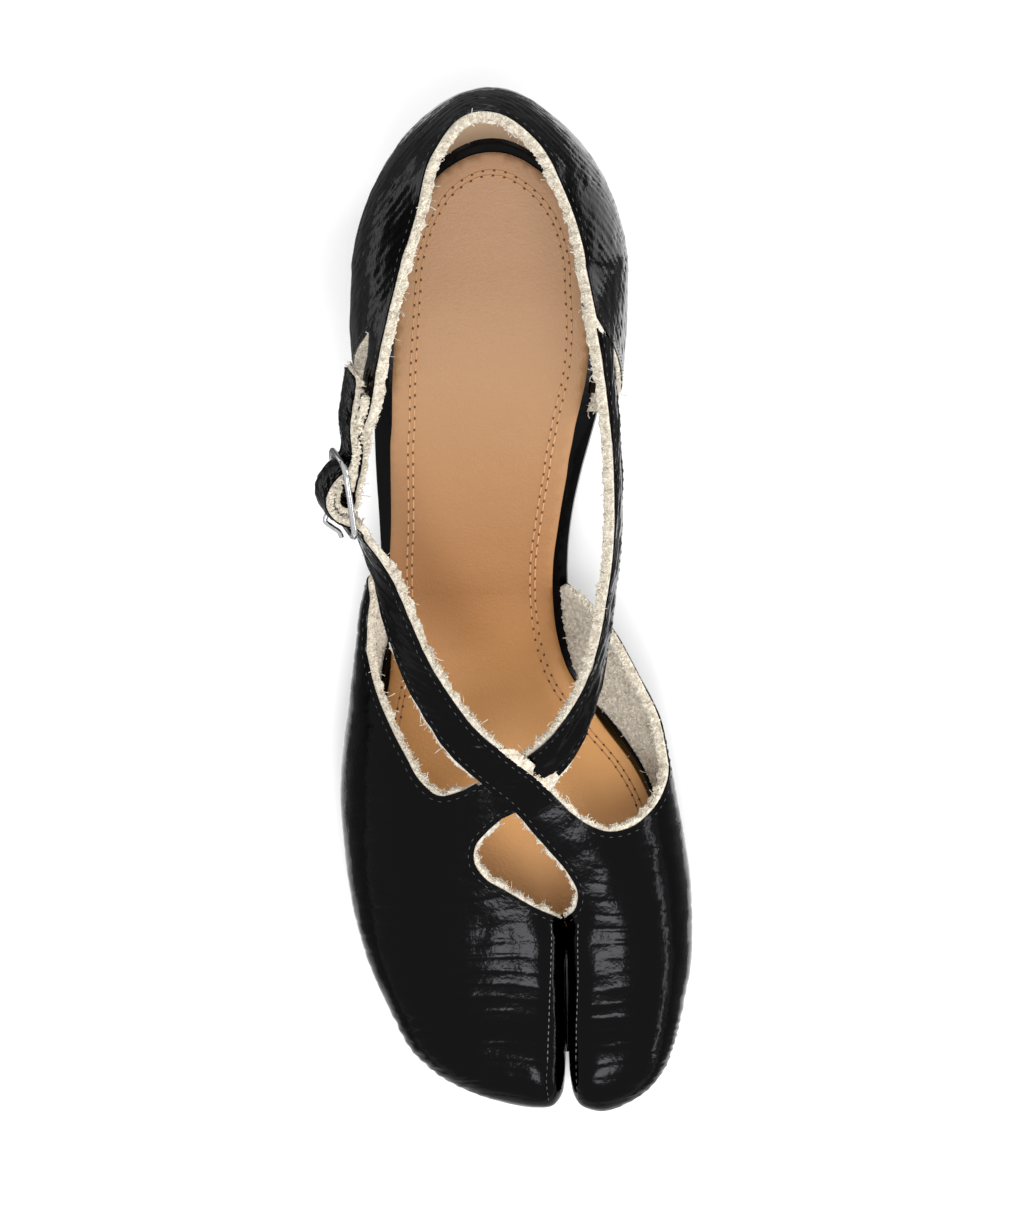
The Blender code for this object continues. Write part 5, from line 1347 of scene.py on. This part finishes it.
def heelBody(name, low, high, levels, material, flare=0.0):
    # The block between two heights, with one ring of sides per level.
    turn = np.radians(np.arange(0, 360, 3))
    out = np.stack([np.sign(v) * np.abs(v) ** heel["squared"] for v in (np.cos(turn), np.sin(turn))], axis=1)
    reach = np.column_stack([np.full(len(turn), heel["half"]),
                             np.where(np.sin(turn) > 0, heel["back"], heel["front"])])
    rings = []
    for k in np.linspace(0, 1, levels):
        share = heel["base"] + (1 - heel["base"]) * k - flare * 4 * k * (1 - k)
        plan = np.array(heel["middle"]) + out * reach * share
        rings.append(np.column_stack([plan, low(plan) * (1 - k) + high(plan) * k]))
    flat, faces = triangulate(rings[-1][:, :2], heel["pitch"])
    base, floor = triangulate(rings[0][:, :2], heel["pitch"])
    start = levels * len(turn)
    points = np.concatenate(rings + [np.column_stack([flat, high(flat)]), np.column_stack([base, low(base)])])
    caps = [tuple(f) for f in faces + start] + [tuple(f) for f in floor[:, ::-1] + start + len(flat)]
    obj = makeObject(name, points, gridFaces(levels, len(turn), around=True) + caps, material)
    weld = obj.modifiers.new("weld", "WELD")
    weld.merge_threshold = 1e-6
    return rounded(obj, heel["round"])


def level(height):
    return lambda plan: np.full(len(plan), float(height))


def underSeat(plan):
    return layerHeight(plan[:, 1], -heel["gap"])


outerFan, innerFan = panels[0]["fan"], panels[1]["fan"]
soleEdge = soleLoop(outerFan, innerFan, 0.0, 0.0, slotEndY, 1.2)
sockEdge = soleLoop(outerFan, innerFan, layers["sockInset"], layers["sockCleftInset"], splitEndY + 3, 1.0)
# forward of the waist the sock runs on to the foot of the walls; y, and how far in from the sole's edge
sockReach = table(
    "y outer inner", (-62, 1.9, 1.6), (-44, 1.9, 1.6), (-26, 1.9, 2.7), (-18, 1.9, 3.7), (-10, 1.9, 3.8),
    (0, 1.9, 3.6), (8, 2.0, 3.2), (16, 2.7, 2.7), (26, 3.3, 2.8), (36, 3.75, 3.7))
sockMiddleX = -8
edgeX, edgeY = sockEdge.T
toReach = np.where(edgeX < sockMiddleX, read(sides, "outSole", edgeY) + read(sockReach, "outer", edgeY),
                   read(sides, "inSole", edgeY) - read(sockReach, "inner", edgeY))
free = ramp(edgeY, -64, -54) * (1 - ramp(edgeY, 28, 36)) * (np.abs(edgeX - toReach) < 6)
sockEdge = np.column_stack([edgeX + (toReach - edgeX) * free, edgeY])
ridesOn(plate("outsoleDressed", soleEdge, 0.0, layers["outsole"], blackLeather, 3.0, bevel=0.5),
        "outsole_leather", "outsole")
ridesOn(plate("boardDressed", soleEdge, *layers["board"], boardEdge, 2.4, bevel=0.7), "board", "insole_board")
ridesOn(plate("sockDressed", sockEdge, *layers["sock"], sockLeatherPaintedShade, 1.7, drop=0.55),
        "sock_leather", "insole_sock")
ridesOn(heelBody("heelDressed", level(heel["tip"] + heel["gap"]), underSeat, 16, blackLeather, heel["waist"]),
        "heel_leather", "heel_block")
ridesOn(heelBody("topPieceDressed", level(0.0), level(heel["tip"]), 2, rubber),
        "top_piece_rubber", "heel_top_piece")
print("sole and heel")


# the sock's two rows of stitches: sunk holes darkened with painted shade, and the thread between them
def pointsAlong(line, at):
    # Points of a flat line at these running lengths.
    steps = chord(line)
    return np.stack([np.interp(at, steps, line[:, 0]), np.interp(at, steps, line[:, 1])], axis=1)


# each kind of stitch: material, place within the pitch, height over the sock, half length and radius
sockSeam = {"fromY": -62.0, "inset": (4.1, 5.25), "pitch": 2.6, "shift": 0.35,
            "Holes": (holeShadeTone, 0.0, -0.04, 0.26, 0.26), "Threads": (tanThread, 0.5, 0.02, 0.85, 0.2)}
start = int(np.argmin(sockEdge[:, 1]))
for k, inset in enumerate(sockSeam["inset"]):
    line = np.roll(grown(sockEdge, np.full(len(sockEdge), -inset)), -start, axis=0)
    line = line[line[:, 1] > sockSeam["fromY"]]
    number = np.arange(1, int(chord(line)[-1] / sockSeam["pitch"]))
    for tag in ("Holes", "Threads"):
        tone, offset, lift, half, radius = sockSeam[tag]
        at = (number + offset + sockSeam["shift"] * k) * sockSeam["pitch"]
        flat = pointsAlong(line, at)
        ahead = unit(pointsAlong(line, at + 0.5) - flat)
        ends = np.stack([flat - ahead * half / 2, flat + ahead * half / 2], axis=1).reshape(-1, 2)
        points = np.column_stack([ends, layerHeight(ends[:, 1], layers["sock"][1]) + lift])
        row = lineObject("sock" + tag + str(k), points, [(2 * j, 2 * j + 1) for j in range(len(flat))])
        grow(row, stitches, Pitch=1.0, Length=half * mm, Radius=radius * mm, Material=tone)
        ridesOn(row, "sock_leather", "insole_sock")
print("sock stitches")


# floor, lights and camera
studio = {"eye": (47.38, 3.83, 1100.0), "viewHeight": 295.9, "shift": (-0.165, -0.015)}


def sheetOf(name, left, right, front, back, height, material):
    mesh = bpy.data.meshes.new(name)
    corners = ((left, front), (right, front), (right, back), (left, back))
    mesh.from_pydata([(x, y, height) for x, y in corners], [], [(0, 1, 2, 3)])
    mesh.materials.append(material)
    return inScene(name, mesh)


studioFloor = sheetOf("studioFloor", -3, 3, -3, 3, 0, newMaterial("paleFloor", (0.93, 0.93, 0.93), 0.6))

world = bpy.data.worlds.new("studio")
bpy.context.scene.world = world
world.use_nodes = True
world.node_tree.nodes["Background"].inputs["Color"].default_value = (1, 1, 1, 1)
world.node_tree.nodes["Background"].inputs["Strength"].default_value = 1.0


def softbox(name, place, aim, size, power):
    data = bpy.data.lights.new(name, "AREA")
    data.shape, (data.size, data.size_y), data.energy = "RECTANGLE", size, power
    lamp = inScene(name, data)
    lamp.location = place
    lamp.rotation_euler = (Vector(aim) - Vector(place)).to_track_quat("-Z", "Y").to_euler()
    return lamp


# place, what it aims at, size and power; the last one is left out of the gloss
softbox("frontBox", (0.052, -0.9, 1.31), (0, -0.05, 0.03), (0.41, 0.36), 5.8)
softbox("toeStrip", (1.164, -0.397, 0.28), (0.036, -0.073, 0.031), (0.55, 0.085), 1.8)
softbox("innerBox", (1.3, 0.45, 0.35), (0, 0.06, 0.07), (0.5, 0.35), 12)
softbox("fillBox", (0.15, -0.45, 1.55), (0, 0, 0.03), (0.7, 0.7), 13).visible_glossy = False

# dark flags on the floor that only the gloss sees, with windows left between them
flagHeight = 0.001
flags = {"outerNear": (-0.126, -0.062, 0.02, 0.6), "outerFar": (-0.7, -0.158, 0.02, 0.6),
         "outerHeel": (-0.062, -0.042, 0.05, 0.6), "backNear": (-0.042, 0.13, 0.14, 0.218),
         "backFar": (-0.042, 0.13, 0.27, 0.6), "backSide": (0.022, 0.13, 0.218, 0.27),
         "innerNear": (0.055, 0.13, 0.02, 0.088), "innerFar": (0.13, 0.7, 0.02, 0.6),
         "outerFront": (-0.7, -0.062, -0.2, 0.02), "innerFront": (0.055, 0.7, -0.2, 0.02)}
flagDark = newMaterial("flagDark", (0.1, 0.1, 0.1), 1.0)
flagGrey = newMaterial("flagGrey", (0.28, 0.28, 0.28), 1.0)
for name, edges in flags.items():
    flag = sheetOf(name + "Flag", *edges, flagHeight, flagGrey if "Front" in name else flagDark)
    flag.visible_camera = flag.visible_diffuse = flag.visible_shadow = flag.visible_transmission = False
bpy.context.scene.view_settings.view_transform = "Standard"

data = bpy.data.cameras.new("camera")
data.sensor_fit, data.sensor_height = "VERTICAL", 24.0
data.lens = data.sensor_height * studio["eye"][2] / studio["viewHeight"]
data.shift_x, data.shift_y = studio["shift"]
data.clip_start, data.clip_end = 0.01, 20
camera = inScene("camera", data)
camera.location = [v * mm for v in studio["eye"]]
bpy.context.scene.camera = camera
print("studio")
